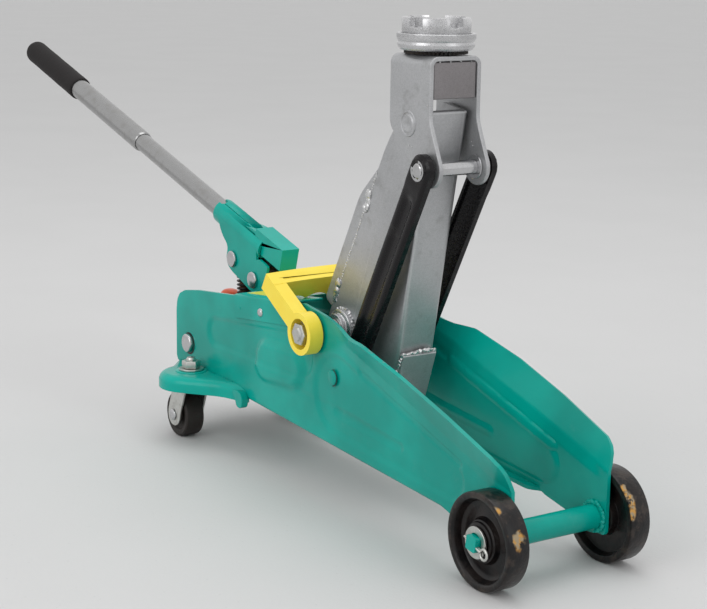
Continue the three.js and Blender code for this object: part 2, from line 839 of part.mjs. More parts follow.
function cheekOutline() {
  const shape = new THREE.Shape();
  shape.moveTo(-socketLength + 8, handleOffset);
  shape.lineTo(-58, 14.7);
  shape.lineTo(-plungerPinReach - 10, 9);
  shape.absarc(-plungerPinReach, plungerPinRise, 10.5, Math.PI, rad(262), false);
  shape.lineTo(-14, -9.4);
  shape.absarc(0, 0, 10.5, rad(250), rad(320), false);
  shape.lineTo(16.8, -1.5);
  shape.lineTo(17, 19.4);
  shape.lineTo(3.3, 22.5);
  shape.lineTo(-2, 26);
  shape.lineTo(4, handleOffset + 6);
  shape.lineTo(2, handleOffset + socketOuter);
  shape.lineTo(-socketLength + 8, handleOffset + socketOuter);
  return shape;
}

function handleSocket() {
  const sleeve = rodX(socketOuter, -socketLength, 1, 0, handleOffset, 20);
  const cheeks = slabY(cheekOutline(), -socketOuter, socketOuter);
  const roof = block(-socketLength - 1, 30, -30, 30, handleOffset, 60).subtract(
    rodX(socketOuter, -socketLength - 2, 31, 0, handleOffset, 20));
  const gap = block(-plungerPinReach - 16, 40, -cheekInner, cheekInner, -30, handleOffset);
  return cheeks.subtract(roof).add(sleeve)
    .subtract(rodX(socketBore, -socketLength - 2, 10, 0, handleOffset, 20))
    .subtract(gap)
    .subtract(rodY(socketPinRadius + runningFit, -20, 20))
    .subtract(rodY(socketPinRadius + runningFit, -20, 20, -plungerPinReach, plungerPinRise))
    .subtract(rodZ(2.5 + runningFit, handleOffset - 20, handleOffset, -screwReach, 0, 16));
}

const screwReach = socketLength - 12;

function socketPin(middleRadius) {
  const head = socketOuter + faceGap;
  const middle = cheekInner - 0.8;
  const half = [
    [middleRadius, middle], [socketPinRadius, middle], [socketPinRadius, head], [socketPinHead, head],
    [socketPinHead, head + 1.6], [socketPinHead - 1, head + 2.4], [0, head + 2.4],
  ];
  const other = half.map(([r, y]) => [r, -y]).reverse();
  return turnedY([...other, ...half]);
}

// The screw that stops the handle from turning in its socket.
function socketScrew() {
  return turnedZ([[0, -5.5], [4, -5.2], [4.5, -3], [4.5, -faceGap], [2.5, -faceGap], [2.5, 2.4], [0, 2.4]], 16);
}

function lowerTube() {
  const inner = lowerTubeRadius - tubeWall;
  const far = -tubeStep - tubeOverlap;
  return turnedX([
    [inner, far], [lowerTubeRadius, far], [lowerTubeRadius, -tubeEnd], [inner, -tubeEnd], [inner, far],
  ], 20);
}

function upperTube() {
  const inner = lowerTubeRadius + runningFit;
  const far = -gripEnd + 4;
  return turnedX([
    [inner, far], [upperTubeRadius, far], [upperTubeRadius, -tubeStep - 1], [upperTubeRadius - 1, -tubeStep],
    [inner, -tubeStep], [inner, far],
  ], 20);
}

function handleGrip() {
  const bore = upperTubeRadius + runningFit;
  const cap = -gripEnd + 4 - faceGap;
  return turnedX([
    [0, -gripEnd], [gripRadius - 4, -gripEnd], [gripRadius, -gripEnd + 5], [gripRadius, -gripStart - 2],
    [gripRadius - 1, -gripStart], [bore, -gripStart], [bore, cap], [0, cap],
  ], 20);
}

// ---- Carry handle: its origin is the arm shaft, and X runs out to its bar ----

function carryHandle() {
  const outer = eyeY + eyeWidth;
  const arm = (side) => {
    const y0 = side > 0 ? eyeY : -outer;
    const beam = shapeOf([[0, -9], [carryReach + 7, -9], [carryReach + 7, 4], [0, 5]]);
    const cup = side > 0 ? [eyeY + eyeFloor, outer + 1] : [-outer - 1, -eyeY - eyeFloor];
    return rodY(eyeRadius, y0, y0 + eyeWidth, 0, 0, 24)
      .add(slabY(beam, y0, y0 + eyeWidth))
      .subtract(rodY(11.3, cup[0], cup[1], 0, 0, 18))
      .subtract(rodY(shaftRadius + runningFit, y0 - 1, y0 + eyeWidth + 1));
  };
  const near = carryReach + 7 - barThickness;
  const bar = new THREE.Shape();
  bar.moveTo(near, -outer);
  bar.lineTo(near + barThickness, -outer);
  bar.quadraticCurveTo(near + barThickness + 2 * carryBow, 0, near + barThickness, outer);
  bar.lineTo(near, outer);
  bar.quadraticCurveTo(near + 2 * carryBow, 0, near, -outer);
  return arm(-1).add(arm(1)).add(slabZ(bar, -barDepth / 2 - 2, barDepth / 2 - 2, 16));
}

// ---- Casters: the swivel axis is at the origin ----

function wingOutline(inset) {
  const shape = new THREE.Shape();
  const inner = plateOuter + faceGap;
  const radius = wingRadius - inset;
  shape.moveTo(casterX + wingReach - 2 * inset, inner);
  shape.lineTo(casterX + radius * Math.cos(rad(48)), casterY + radius * Math.sin(rad(48)));
  shape.absarc(casterX, casterY, radius, rad(48), rad(160), false);
  shape.lineTo(rearEdge + 2 + inset, inner);
  return shape;
}

function casterWing() {
  const top = slabZ(wingOutline(0), wingTop - wingSkirt, wingTop, 9);
  const under = slabZ(wingOutline(wingSheet), wingTop - wingSkirt - 1, wingTop - wingSheet, 9);
  const tabFront = casterX + wingReach - 3;
  const tabInner = plateOuter + faceGap;
  const tab = block(tabFront - 11, tabFront, tabInner, tabInner + wingSheet, wingTop - wingSkirt - 3, wingTop - 1);
  return top.subtract(under).add(tab)
    .subtract(rodZ(5 + runningFit, wingTop - 20, wingTop + 5, casterX, casterY));
}

const forkTop = 2 * casterRadius + 5;
const forkHalfInner = casterWidth / 2 + forkGap;

function casterFork() {
  const outer = forkHalfInner + forkSheet;
  const cheek = new THREE.Shape();
  cheek.moveTo(9, forkTop);
  cheek.lineTo(-12, forkTop);
  cheek.lineTo(-casterTrail - 8, casterRadius + 2);
  cheek.absarc(-casterTrail, casterRadius, 8, Math.PI, 1.85 * Math.PI, false);
  const shell = slabY(cheek, -outer, outer)
    .subtract(block(-60, 60, -forkHalfInner, forkHalfInner, -5, forkTop - forkSheet))
    .subtract(rodY(casterAxleRadius + runningFit, -30, 30, -casterTrail, casterRadius, 16));
  const race = rodZ(9, forkTop - 1, wingTop - wingSheet - faceGap, 0, 0, 16);
  return shell.add(race).subtract(rodZ(5 + runningFit, forkTop - 6, wingTop, 0, 0));
}

function casterWheel() {
  const half = casterWidth / 2;
  const bore = casterAxleRadius + runningFit;
  return turnedY([
    [bore, -half], [6, -half], [6.5, 2 - half], [casterRadius - 6, 2 - half], [casterRadius - 5, -half],
    [casterRadius - 1.5, -half], [casterRadius, 1.5 - half], [casterRadius, half - 1.5],
    [casterRadius - 1.5, half], [casterRadius - 5, half], [casterRadius - 6, half - 2], [6.5, half - 2],
    [6, half], [bore, half], [bore, -half],
  ], 24);
}

function casterAxle() {
  const end = forkHalfInner + forkSheet + faceGap;
  const half = [[casterAxleRadius, end], [4.6, end], [4, end + 1.2], [0, end + 1.6]];
  const other = half.map(([r, y]) => [r, -y]).reverse();
  return turnedY([...other, ...half], 12);
}

// The swivel bolt: its nut and washer stand on the wing, and its head is inside the fork.
function casterBolt() {
  const hex = geometryOf(hexNut(15, 7, 4)).rotateX(Math.PI / 2);
  hex.translate(0, 0, wingTop + faceGap + 5);
  const head = forkTop - forkSheet - faceGap;
  const stem = solid(turnedZ([
    [0, head - 1.6], [6.5, head - 1.6], [6.5, head], [5, head], [5, wingTop + faceGap],
    [11, wingTop + faceGap], [11, wingTop + faceGap + 1.6], [5, wingTop + faceGap + 1.6],
    [5, wingTop + faceGap + 9], [3.5, wingTop + faceGap + 11], [0, wingTop + faceGap + 11.6],
  ], 14));
  return stem.add(solid(hex));
}

// ---- The whole jack ----

const jack = new THREE.Group();

function frame() {
  const pieces = [
    piece('front_axle', frontAxle(), 'greenPaint', [0, 0, wheelRadius]),
    piece('arm_shaft', armShaft(), 'zinc', [shaftX, 0, shaftZ]),
    piece('rear_cross_pin', rearCrossPin(), 'chrome', [rearPinX, 0, rearPinZ]),
    piece('top_cover', topCover(), 'greenPaint'),
    piece('pump_block', pumpBlock(), 'castIron'),
    piece('oil_cylinder', oilCylinder(), 'greenPaint', [0, 0, ramZ]),
    piece('cylinder_gland', cylinderGland(), 'zinc', [0, 0, ramZ]),
    piece('oil_filler_plug', fillerPlug(), 'plugRed', [plugX, 0, blockTop]),
    piece('release_valve', releaseValve(), 'zinc', [blockRear, 18, valveZ]),
  ];
  for (const [word, side] of sides) {
    const onSide = (body) => (side < 0 ? mirrorY(body) : body);
    pieces.push(
      piece(`side_plate_${word}`, onSide(sidePlate()), 'greenPaint'),
      piece(`caster_wing_${word}`, onSide(casterWing()), 'greenPaint'),
      piece(`shaft_washer_${word}`, onSide(solid(shaftWasher())), 'zinc', [shaftX, side * shaftWasherY, shaftZ]),
      piece(`shaft_nut_${word}`, onSide(shaftNut()), 'zinc', [shaftX, side * shaftNutY, shaftZ]),
      piece(`link_pin_${word}`, onSide(solid(lowerLinkPin())), 'greenPaint', [lowerPin.x, 0, lowerPin.z]),
      piece(`cover_rivet_${word}`, onSide(solid(coverRivet())), 'chrome', [rivetX, 0, rivetZ]),
      piece(`wheel_washer_${word}`, onSide(solid(wheelWasher())), 'zinc', [0, side * washerY, wheelRadius]),
      piece(`cotter_pin_${word}`, cotterPin(), 'zinc', [0, side * cotterY, wheelRadius]),
      piece(`caster_bolt_${word}`, casterBolt(), 'zinc', [casterX, side * casterY, 0]),
    );
  }
  return pieces;
}

function wheels() {
  const pieces = [];
  for (const [word, side] of sides) {
    const y = side * (wheelInner + wheelWidth / 2);
    const wheel = solid(frontWheel());
    const caster = [casterX, side * casterY, 0];
    const casterAxlePlace = [casterX - casterTrail, side * casterY, casterRadius];
    pieces.push(
      piece(`front_wheel_${word}`, side < 0 ? mirrorY(wheel) : wheel, 'wheelBlack', [0, y, wheelRadius]),
      piece(`caster_fork_${word}`, casterFork(), 'zinc', caster),
      piece(`caster_wheel_${word}`, casterWheel(), 'wheelBlack', casterAxlePlace),
      piece(`caster_axle_${word}`, casterAxle(), 'zinc', casterAxlePlace),
    );
  }
  return pieces;
}

function arm() {
  return assembly([shaftX, 0, shaftZ], -rad(armAngle), [
    piece('lift_arm', liftArm(), 'silverPaint'),
    piece('arm_back_plate', armBackPlate(), 'silverPaint'),
    piece('arm_toe_plate', armToePlate(), 'silverPaint'),
    piece('arm_boss_right', mirrorY(solid(armBoss())), 'silverPaint'),
    piece('arm_boss_left', armBoss(), 'silverPaint'),
    piece('ram_roller', ramRoller(), 'zinc', [lever.s, 0, -lever.t]),
  ]);
}

const headPlace = [
  shaftX + armLength * Math.cos(rad(armAngle)),
  0,
  shaftZ + armLength * Math.sin(rad(armAngle)),
];

function head() {
  return assembly(headPlace, 0, [
    piece('head_bracket', headBracket(), 'silverPaint'),
    piece('head_block', headBlock(), 'silverPaint'),
    piece('head_pivot_pin', headPivotPin(), 'silverPaint'),
    piece('head_link_pin', headLinkPin(), 'chrome', [linkOffsetX, 0, linkOffsetZ]),
    piece('saddle_ring', saddleRing(), 'silverPaint', [saddleOffset, 0, headHeight]),
    piece('saddle_crown', saddleCrown(), 'silverPaint', [saddleOffset, 0, headHeight]),
  ]);
}

function links() {
  return assembly([lowerPin.x, 0, lowerPin.z], -rad(armAngle), [
    piece('link_right', mirrorY(link()), 'blackPaint'),
    piece('link_left', link(), 'blackPaint'),
  ]);
}

function pump() {
  return [
    piece('ram', ram(), 'chrome'),
    piece('pump_plunger', pumpPlunger(), 'castIron'),
    piece('plunger_spring', plungerSpring(), 'zinc', [plungerX, 0, springBottom]),
  ];
}

function handle() {
  return assembly([pivotX, 0, pivotZ], rad(handleTilt), [
    piece('handle_socket', handleSocket(), 'greenPaint'),
    piece('socket_pivot_pin', socketPin(socketPinRadius), 'chrome'),
    piece('socket_plunger_pin', socketPin(plungerRollerRadius), 'chrome', [-plungerPinReach, 0, plungerPinRise]),
    piece('socket_screw', socketScrew(), 'greenPaint', [-screwReach, 0, handleOffset - socketOuter]),
    piece('handle_lower_tube', lowerTube(), 'chrome', [0, 0, handleOffset]),
    piece('handle_upper_tube', upperTube(), 'chrome', [0, 0, handleOffset]),
    piece('handle_grip', handleGrip(), 'rubber', [0, 0, handleOffset]),
  ]);
}

function carry() {
  return assembly([shaftX, 0, shaftZ], -rad(carryAngle), [piece('carry_handle', carryHandle(), 'yellowPlastic')]);
}

jack.add(...frame(), ...wheels(), arm(), head(), links(), ...pump(), handle(), carry());

// The origin goes on the floor under the middle of the jack's overall box.
const box = new THREE.Box3().setFromObject(jack);
jack.position.set(-(box.min.x + box.max.x) / 2, 0, -box.min.z);

export default jack;
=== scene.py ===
import json
import math
import random

import bmesh
import bpy
from mathutils import Matrix, Vector, noise


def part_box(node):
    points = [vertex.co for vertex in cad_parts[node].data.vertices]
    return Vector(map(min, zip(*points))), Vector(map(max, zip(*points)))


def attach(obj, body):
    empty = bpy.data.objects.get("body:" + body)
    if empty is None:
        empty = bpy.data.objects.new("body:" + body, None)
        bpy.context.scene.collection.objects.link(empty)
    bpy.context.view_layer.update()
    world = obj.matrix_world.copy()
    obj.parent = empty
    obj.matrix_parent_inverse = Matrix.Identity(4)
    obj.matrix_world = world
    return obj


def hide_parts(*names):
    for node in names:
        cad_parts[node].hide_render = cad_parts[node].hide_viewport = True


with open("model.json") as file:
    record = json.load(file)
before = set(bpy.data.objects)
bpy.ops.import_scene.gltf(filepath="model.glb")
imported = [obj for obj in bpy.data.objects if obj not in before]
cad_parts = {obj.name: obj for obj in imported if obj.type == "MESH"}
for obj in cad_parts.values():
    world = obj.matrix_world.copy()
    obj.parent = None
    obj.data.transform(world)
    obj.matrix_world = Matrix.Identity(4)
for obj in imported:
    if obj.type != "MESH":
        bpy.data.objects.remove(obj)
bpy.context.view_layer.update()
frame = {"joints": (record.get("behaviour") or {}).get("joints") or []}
scene = bpy.context.scene
joints = {joint["name"]: joint for joint in frame["joints"]}
print("frame loaded")


# Shapes are drawn in millimetres in the own axes of each assembly, and a base carries them to the frame.
def jointAt(name):
    return 1000 * Vector(joints[name]["pos_m"])


def baseAt(origin, tilt=0):
    turn = Matrix.Rotation(math.radians(tilt), 4, "Y")
    return Matrix.Diagonal((0.001, 0.001, 0.001, 1)) @ Matrix.Translation(origin) @ turn


shaft = jointAt("arm_lift")
headPivot = jointAt("head_level")
wheelCentre = jointAt("left_front_wheel_spin")
armAngle = math.degrees(math.atan2(headPivot.z - shaft.z, headPivot.x - shaft.x))
armLength = (headPivot - shaft).length
handleAxis = Vector(joints["handle_pull_out"]["axis"])
handleTilt = math.degrees(math.atan2(handleAxis.z, -handleAxis.x))
carryAngle = 151

frameBase = baseAt((wheelCentre.x, 0, 0))
armBase = baseAt(shaft, -armAngle)
headBase = baseAt(headPivot)
saddleBase = baseAt(jointAt("saddle_turn"))
linkBase = baseAt(jointAt("right_link_swing"), -armAngle)
socketBase = baseAt(jointAt("handle_pump"), handleTilt)
carryBase = baseAt(shaft, -carryAngle)
shaftBase = baseAt(shaft)
sides = (("right", -1), ("left", 1))

# The shaft and the pins, measured from the front axle and the floor.
shaftX = shaft.x - wheelCentre.x
shaftZ = shaft.z
linkFootX = jointAt("right_link_swing").x - wheelCentre.x
linkFootZ = jointAt("right_link_swing").z


# ---- Materials ----

class Value:
    # A socket that can be used in sums.
    def __init__(self, finish, socket):
        self.finish = finish
        self.socket = socket

    def maths(self, operation, *others):
        return self.finish.node("ShaderNodeMath", {"operation": operation}, [self, *others])

    def __add__(self, other):
        return self.maths("ADD", other)

    __radd__ = __add__

    def __mul__(self, other):
        return self.maths("MULTIPLY", other)

    __rmul__ = __mul__

    def __sub__(self, other):
        return self.maths("SUBTRACT", other)

    def __rsub__(self, other):
        return self.finish.node("ShaderNodeMath", {"operation": "SUBTRACT"}, [other, self])

    def __truediv__(self, other):
        return self.maths("DIVIDE", other)

    def between(self, low, high):
        # 0 below low, 1 above high, smooth in between
        values = {"Value": self, "From Min": low, "From Max": high}
        return self.finish.node("ShaderNodeMapRange", {"interpolation_type": "SMOOTHSTEP"}, values)

    def within(self):
        return self.maths("MINIMUM", 1).maths("MAXIMUM", 0)


class Finish:
    def __init__(self, name):
        self.material = bpy.data.materials.new(name)
        self.material.use_nodes = True
        self.tree = self.material.node_tree
        self.tree.nodes.clear()
        self.shader = self.tree.nodes.new("ShaderNodeBsdfPrincipled")
        output = self.tree.nodes.new("ShaderNodeOutputMaterial")
        self.tree.links.new(self.shader.outputs[0], output.inputs[0])
        self.place = self.node("ShaderNodeTexCoord", out="Object")

    def node(self, kind, settings=None, inputs=(), out=0):
        node = self.tree.nodes.new(kind)
        for key, value in (settings or {}).items():
            setattr(node, key, value)
        pairs = inputs.items() if isinstance(inputs, dict) else enumerate(inputs)
        for key, value in pairs:
            self.set(node.inputs[key], value)
        return Value(self, node.outputs[out])

    def set(self, socket, value):
        if isinstance(value, Value):
            self.tree.links.new(value.socket, socket)
        elif isinstance(value, tuple) and len(value) == 3 and socket.type == "RGBA":
            socket.default_value = (*value, 1)
        else:
            socket.default_value = value

    def grain(self, size, detail=3, rough=0.5, place=None, distortion=0):
        # noise whose blobs are about size millimetres across
        inputs = {"Vector": place or self.place, "Scale": 1000 / size, "Detail": detail}
        inputs.update({"Roughness": rough, "Distortion": distortion})
        return self.node("ShaderNodeTexNoise", None, inputs)

    def cells(self, size, out="Distance", feature="F1", place=None):
        inputs = {"Vector": place or self.place, "Scale": 1000 / size}
        return self.node("ShaderNodeTexVoronoi", {"feature": feature}, inputs, out)

    def stretched(self, scale, angle=0):
        # the object's place turned about Y and drawn out along its axes
        inputs = {"Vector": self.place, "Rotation": (0, math.radians(angle), 0), "Scale": scale}
        return self.node("ShaderNodeMapping", None, inputs)

    def axis(self, index, place=None):
        return self.node("ShaderNodeSeparateXYZ", None, [place or self.place], index)

    def spot(self, at, radius, soft=2.0, ragged=3.0):
        # 1 inside a ragged blot round a point of the frame, in millimetres
        point = tuple(0.001 * c for c in at)
        far = self.node("ShaderNodeVectorMath", {"operation": "DISTANCE"}, [self.place, point], 1)
        wander = (self.grain(7, 4) - 0.5) * (0.002 * ragged)
        return 1 - (far + wander).between((radius - soft) / 1000, (radius + soft) / 1000)

    def mix(self, factor, first, second):
        inputs = {0: factor, 6: first, 7: second}
        return self.node("ShaderNodeMix", {"data_type": "RGBA"}, inputs, 2)

    def wearAndHighlight(self, low=0.53, high=0.6):
        # 1 along sharp outside edges, used for chips of wear and for painted edge highlights
        pointed = self.node("ShaderNodeNewGeometry", out="Pointiness")
        return (pointed + (self.grain(2.5, 4) - 0.5) * 0.04).between(low, high)

    def bump(self, height, distance, strength=1.0, after=None):
        inputs = {"Height": height, "Distance": distance / 1000, "Strength": strength}
        if after:
            inputs["Normal"] = after
        return self.node("ShaderNodeBump", None, inputs)

    def done(self, varied, **fixed):
        for key, value in varied.items():
            self.set(self.shader.inputs[key], value)
        for key, value in fixed.items():
            self.shader.inputs[key.replace("_", " ")].default_value = value
        return self.material


def enamel(name, colour, chip, rough=0.2, peel=0.05, wear=0.6, coat=0.06):
    # gloss paint over pressed steel: orange peel, a little fading, and chips on its edges
    f = Finish(name)
    broad = f.grain(60, 3)
    fine = f.grain(1.2, 2)
    dark = tuple(0.8 * c for c in colour)
    light = tuple(min(1, 1.1 * c) for c in colour)
    tone = f.mix(broad.between(0.3, 0.7), dark, light)
    chips = f.wearAndHighlight(0.55, 0.61) * f.grain(5, 5).between(0.52, 0.58) * wear
    dust = f.grain(22, 6, 0.7).between(0.56, 0.75) * 0.03
    tone = f.mix(dust, tone, (0.5, 0.5, 0.46))
    tone = f.mix(chips, tone, chip)
    roughness = rough + fine * 0.06 + dust * 0.9 + chips * 0.3
    peeled = f.bump(f.grain(3.2, 2), peel)
    normal = f.bump(f.grain(0.7, 2), 0.012, after=peeled)
    varied = {"Base Color": tone, "Roughness": roughness, "Normal": normal}
    return f.done(varied, Coat_Weight=coat, Coat_Roughness=0.06, Specular_IOR_Level=0.22)


def flakePaint(name, colour, rough=0.34, metal=0.75, lumps=0.0, grime=0.3):
    # silver paint: metal flakes that sparkle, runs, a little dirt in the corners, and a painted highlight along sharp
    # edges
    f = Finish(name)
    flakes = f.cells(0.55, "Color")
    sparkle = f.axis(0, flakes)
    broad = f.grain(35, 4)
    dark = tuple(0.72 * c for c in colour)
    light = tuple(min(1, 1.25 * c) for c in colour)
    tone = f.mix(broad * 0.6 + sparkle * 0.4, dark, light)
    dirt = f.grain(14, 6, 0.65).between(0.52, 0.72) * grime
    tone = f.mix(dirt, tone, (0.16, 0.15, 0.14))
    # painted highlight: sharp edges made lighter, as where they catch the light
    tone = f.mix(f.wearAndHighlight(0.55, 0.63) * 0.3, tone, (0.8, 0.8, 0.8))
    roughness = rough + sparkle * 0.16 + dirt * 0.25
    run = f.bump(f.grain(4, 3), 0.06 + lumps)
    normal = f.bump(sparkle, 0.03, after=run)
    varied = {"Base Color": tone, "Roughness": roughness, "Normal": normal}
    return f.done(varied, Metallic=metal, Coat_Weight=0.25, Coat_Roughness=0.12)


def plated(name, colour, rough=0.2, scratch=0.1, dirty=0.3, streak=None):
    # bright plating with fine scratches, water marks and dull patches
    f = Finish(name)
    lines = f.grain(1.4, 5, 0.7, place=f.stretched(streak[0], streak[1])) if streak else f.grain(1.5, 4)
    marks = f.grain(9, 6, 0.6).between(0.48, 0.68) * dirty
    dark = tuple(0.45 * c for c in colour)
    tone = f.mix(marks, f.mix(lines * 0.35, colour, dark), (0.18, 0.16, 0.13))
    roughness = rough + lines * scratch + marks * 0.3
    normal = f.bump(lines, 0.02)
    varied = {"Base Color": tone, "Roughness": roughness, "Normal": normal}
    return f.done(varied, Metallic=1.0)


def plastic(name, colour, shade, rough=0.42, pits=0.03):
    # moulded plastic: a fine satin grain, scuffs and handling dirt
    f = Finish(name)
    broad = f.grain(30, 4).between(0.35, 0.7)
    scuffs = f.grain(2.5, 6, 0.7, place=f.stretched((1, 6, 1))).between(0.62, 0.75)
    tone = f.mix(broad * 0.35, colour, shade)
    tone = f.mix(scuffs * 0.3, tone, tuple(0.6 * c for c in shade))
    roughness = rough + broad * 0.08 + scuffs * 0.15
    normal = f.bump(f.grain(0.8, 3), pits)
    varied = {"Base Color": tone, "Roughness": roughness, "Normal": normal}
    return f.done(varied, Coat_Weight=0.1, Coat_Roughness=0.3)


def rubberSkin(name, colour, size, depth, rough=0.75):
    f = Finish(name)
    pores = f.cells(size)
    wearAndHighlight = f.grain(12, 5).between(0.5, 0.7)
    tone = f.mix(wearAndHighlight * 0.5, colour, tuple(2.2 * c + 0.004 for c in colour))
    roughness = rough + wearAndHighlight * 0.1
    normal = f.bump(pores + f.grain(size * 3, 4), depth)
    varied = {"Base Color": tone, "Roughness": roughness, "Normal": normal}
    return f.done(varied, Specular_IOR_Level=0.35)


def ironSkin(name, colour, rust, rough=0.5, depth=0.25):
    f = Finish(name)
    broad = f.grain(18, 6, 0.6).between(0.4, 0.65)
    tone = f.mix(broad, colour, rust)
    oil = f.grain(25, 3).between(0.45, 0.6)
    normal = f.bump(f.grain(2, 6, 0.7), depth)
    varied = {"Base Color": tone, "Roughness": rough - oil * 0.2, "Normal": normal}
    return f.done(varied, Metallic=0.4)


teal = (0.0, 0.36, 0.295)
materials = {
    "green": enamel("greenEnamel", teal, (0.25, 0.3, 0.28), wear=0),
    "panel": enamel("panelEnamel", teal, (0.2, 0.26, 0.24), wear=0.3),
    "silver": flakePaint("silverFlakePaint", (0.45, 0.455, 0.465)),
    "shaded": flakePaint("blockPaint", (0.23, 0.215, 0.22), 0.4, 0.5, 0, 0.1),
    "bright": flakePaint("brightSilverPaint", (0.55, 0.55, 0.56), 0.22, 0.9, 0.02, 0.12),
    "weld": flakePaint("weldSilver", (0.6, 0.6, 0.6), 0.2, 0.9, 0.3, 0.25),
    "black": enamel("blackEnamel", (0.006, 0.005, 0.006), (0.1, 0.09, 0.09), 0.24, 0.05, 0.2),
    "chrome": plated("chromePlate", (0.62, 0.62, 0.63), 0.16, 0.1, 0.15),
    "zinc": plated("zincPlate", (0.66, 0.66, 0.63), 0.24, 0.16, 0.3),
    "tube": plated("handleTubePlate", (0.42, 0.42, 0.42), 0.2, 0.16, 0.2, ((0.05, 1, 1), -handleTilt)),
    "yellow": plastic("yellowPlastic", (1.0, 0.8, 0.07), (0.95, 0.66, 0.02)),
    "red": plastic("orangePlug", (0.7, 0.1, 0.03), (0.5, 0.05, 0.02), 0.35),
    "grip": rubberSkin("foamGrip", (0.009, 0.007, 0.007), 1.0, 0.15),
    "iron": ironSkin("oiledIron", (0.035, 0.024, 0.02), (0.16, 0.055, 0.02)),
    "rod": ironSkin("rustyRod", (0.11, 0.05, 0.03), (0.26, 0.09, 0.03), 0.4, 0.1),
    "caster": rubberSkin("casterTyre", (0.018, 0.014, 0.012), 0.9, 0.1, 0.55),
    "label": plastic("labelYellow", (0.72, 0.7, 0.05), (0.6, 0.62, 0.05), 0.35),
    "labelGrey": plastic("labelGrey", (0.42, 0.42, 0.43), (0.3, 0.3, 0.32), 0.35),
    # black oxide for the washer and spring, and the dark of the painted shadow rings round the pins and under the
    # saddle ring
    "dark": ironSkin("blackOxideAndShadow", (0.01, 0.01, 0.01), (0.03, 0.02, 0.015), 0.5, 0.1),
}
print("materials made")


# ---- Making shapes ----

# A flat face in X and Z. A corner's third number is how far from it, along both edges, its rounding starts.
def cut(corners, steps=6):
    bm = bmesh.new()
    verts = [bm.verts.new((corner[0], 0, corner[1])) for corner in corners]
    bm.faces.new(verts)
    groups = {}
    for vert, corner in zip(verts, corners):
        if len(corner) > 2:
            groups.setdefault(corner[2], []).append(vert)
    for size, group in groups.items():
        bmesh.ops.bevel(bm, geom=group, offset=size, offset_type="OFFSET", affect="VERTICES",
                        segments=steps, profile=0.5, material=-1)
    return bm


def settle(bm):
    bmesh.ops.remove_doubles(bm, verts=bm.verts, dist=0.002)
    bmesh.ops.recalc_face_normals(bm, faces=bm.faces)
    return bm


def thick(bm, y0, y1):
    bmesh.ops.translate(bm, verts=bm.verts, vec=(0, y0, 0))
    grown = bmesh.ops.extrude_face_region(bm, geom=bm.faces[:])["geom"]
    moved = [item for item in grown if isinstance(item, bmesh.types.BMVert)]
    bmesh.ops.translate(bm, verts=moved, vec=(0, y1 - y0, 0))
    return settle(bm)


def slab(corners, y0, y1, steps=6):
    return thick(cut(corners, steps), y0, y1)


# A piece turned round Y from pairs of radius and place along it.
def turned(profile, steps=48):
    bm = bmesh.new()
    closed = profile[0] == profile[-1]
    points = profile[:-1] if closed else profile
    verts = [bm.verts.new((radius, along, 0)) for radius, along in points]
    edges = [bm.edges.new(pair) for pair in zip(verts, verts[1:])]
    if closed:
        edges.append(bm.edges.new((verts[-1], verts[0])))
    bmesh.ops.spin(bm, geom=verts + edges, axis=(0, 1, 0), angle=2 * math.pi, steps=steps, use_merge=True)
    return settle(bm)


def rod(radius, y0, y1, at=(0, 0), edge=0.4, steps=40):
    profile = [(0, y0), (radius - edge, y0), (radius, y0 + edge), (radius, y1 - edge), (radius - edge, y1), (0, y1)]
    return moved(turned(profile, steps), (at[0], 0, at[1]))


def ring(inner, outer, y0, y1, at=(0, 0), steps=40):
    edge = 0.25
    profile = [(inner, y0), (outer - edge, y0), (outer, y0 + edge), (outer, y1 - edge), (outer - edge, y1),
               (inner, y1), (inner, y0)]
    return moved(turned(profile, steps), (at[0], 0, at[1]))


def ball(radius, at, size=(1, 1, 1), steps=3):
    bm = bmesh.new()
    bmesh.ops.create_icosphere(bm, subdivisions=steps, radius=radius)
    bmesh.ops.scale(bm, vec=size, verts=bm.verts)
    return moved(bm, at)


def brick(low, high):
    bm = bmesh.new()
    bmesh.ops.create_cube(bm, size=1)
    bmesh.ops.scale(bm, vec=[b - a for a, b in zip(low, high)], verts=bm.verts)
    return moved(bm, [(a + b) / 2 for a, b in zip(low, high)])


def hexagon(acrossFlats, y0, y1, edge=0.8):
    radius = acrossFlats / math.sqrt(3)
    corners = [(radius * math.cos(math.pi * k / 3), radius * math.sin(math.pi * k / 3)) for k in range(6)]
    bm = slab(corners, y0, y1)
    tops = [e for e in bm.edges if abs(e.verts[0].co.y - e.verts[1].co.y) < 0.01]
    bmesh.ops.bevel(bm, geom=tops, offset=edge, affect="EDGES", segments=2, profile=0.5, material=-1)
    return bm


def moved(bm, vec):
    bmesh.ops.translate(bm, verts=bm.verts, vec=vec)
    return bm


def turnedBy(bm, axis, degrees, cent=(0, 0, 0)):
    matrix = Matrix.Rotation(math.radians(degrees), 3, axis)
    bmesh.ops.rotate(bm, cent=cent, matrix=matrix, verts=bm.verts)
    return bm


def alongX(bm):
    return turnedBy(bm, "Z", -90)


def alongZ(bm):
    return turnedBy(bm, "X", 90)


def joined(*parts):
    whole = bmesh.new()
    for part in parts:
        mesh = bpy.data.meshes.new("part")
        part.to_mesh(mesh)
        whole.from_mesh(mesh)
        bpy.data.meshes.remove(mesh)
    return whole


def mirrored(bm):
    bmesh.ops.scale(bm, vec=(1, -1, 1), verts=bm.verts)
    bmesh.ops.reverse_faces(bm, faces=bm.faces)
    return bm


def asObject(bm, name="work"):
    mesh = bpy.data.meshes.new(name)
    bm.to_mesh(mesh)
    made = bpy.data.objects.new(name, mesh)
    scene.collection.objects.link(made)
    return made


def carved(bm, *tools, keep="DIFFERENCE"):
    # the first shape less each of the others, or what they share
    body = asObject(bm)
    cutters = [asObject(tool) for tool in tools]
    for cutter in cutters:
        step = body.modifiers.new("cut", "BOOLEAN")
        step.operation = keep
        step.solver = "EXACT"
        step.object = cutter
    graph = bpy.context.evaluated_depsgraph_get()
    result = bmesh.new()
    result.from_object(body, graph)
    for used in [body, *cutters]:
        bpy.data.meshes.remove(used.data)
    return result


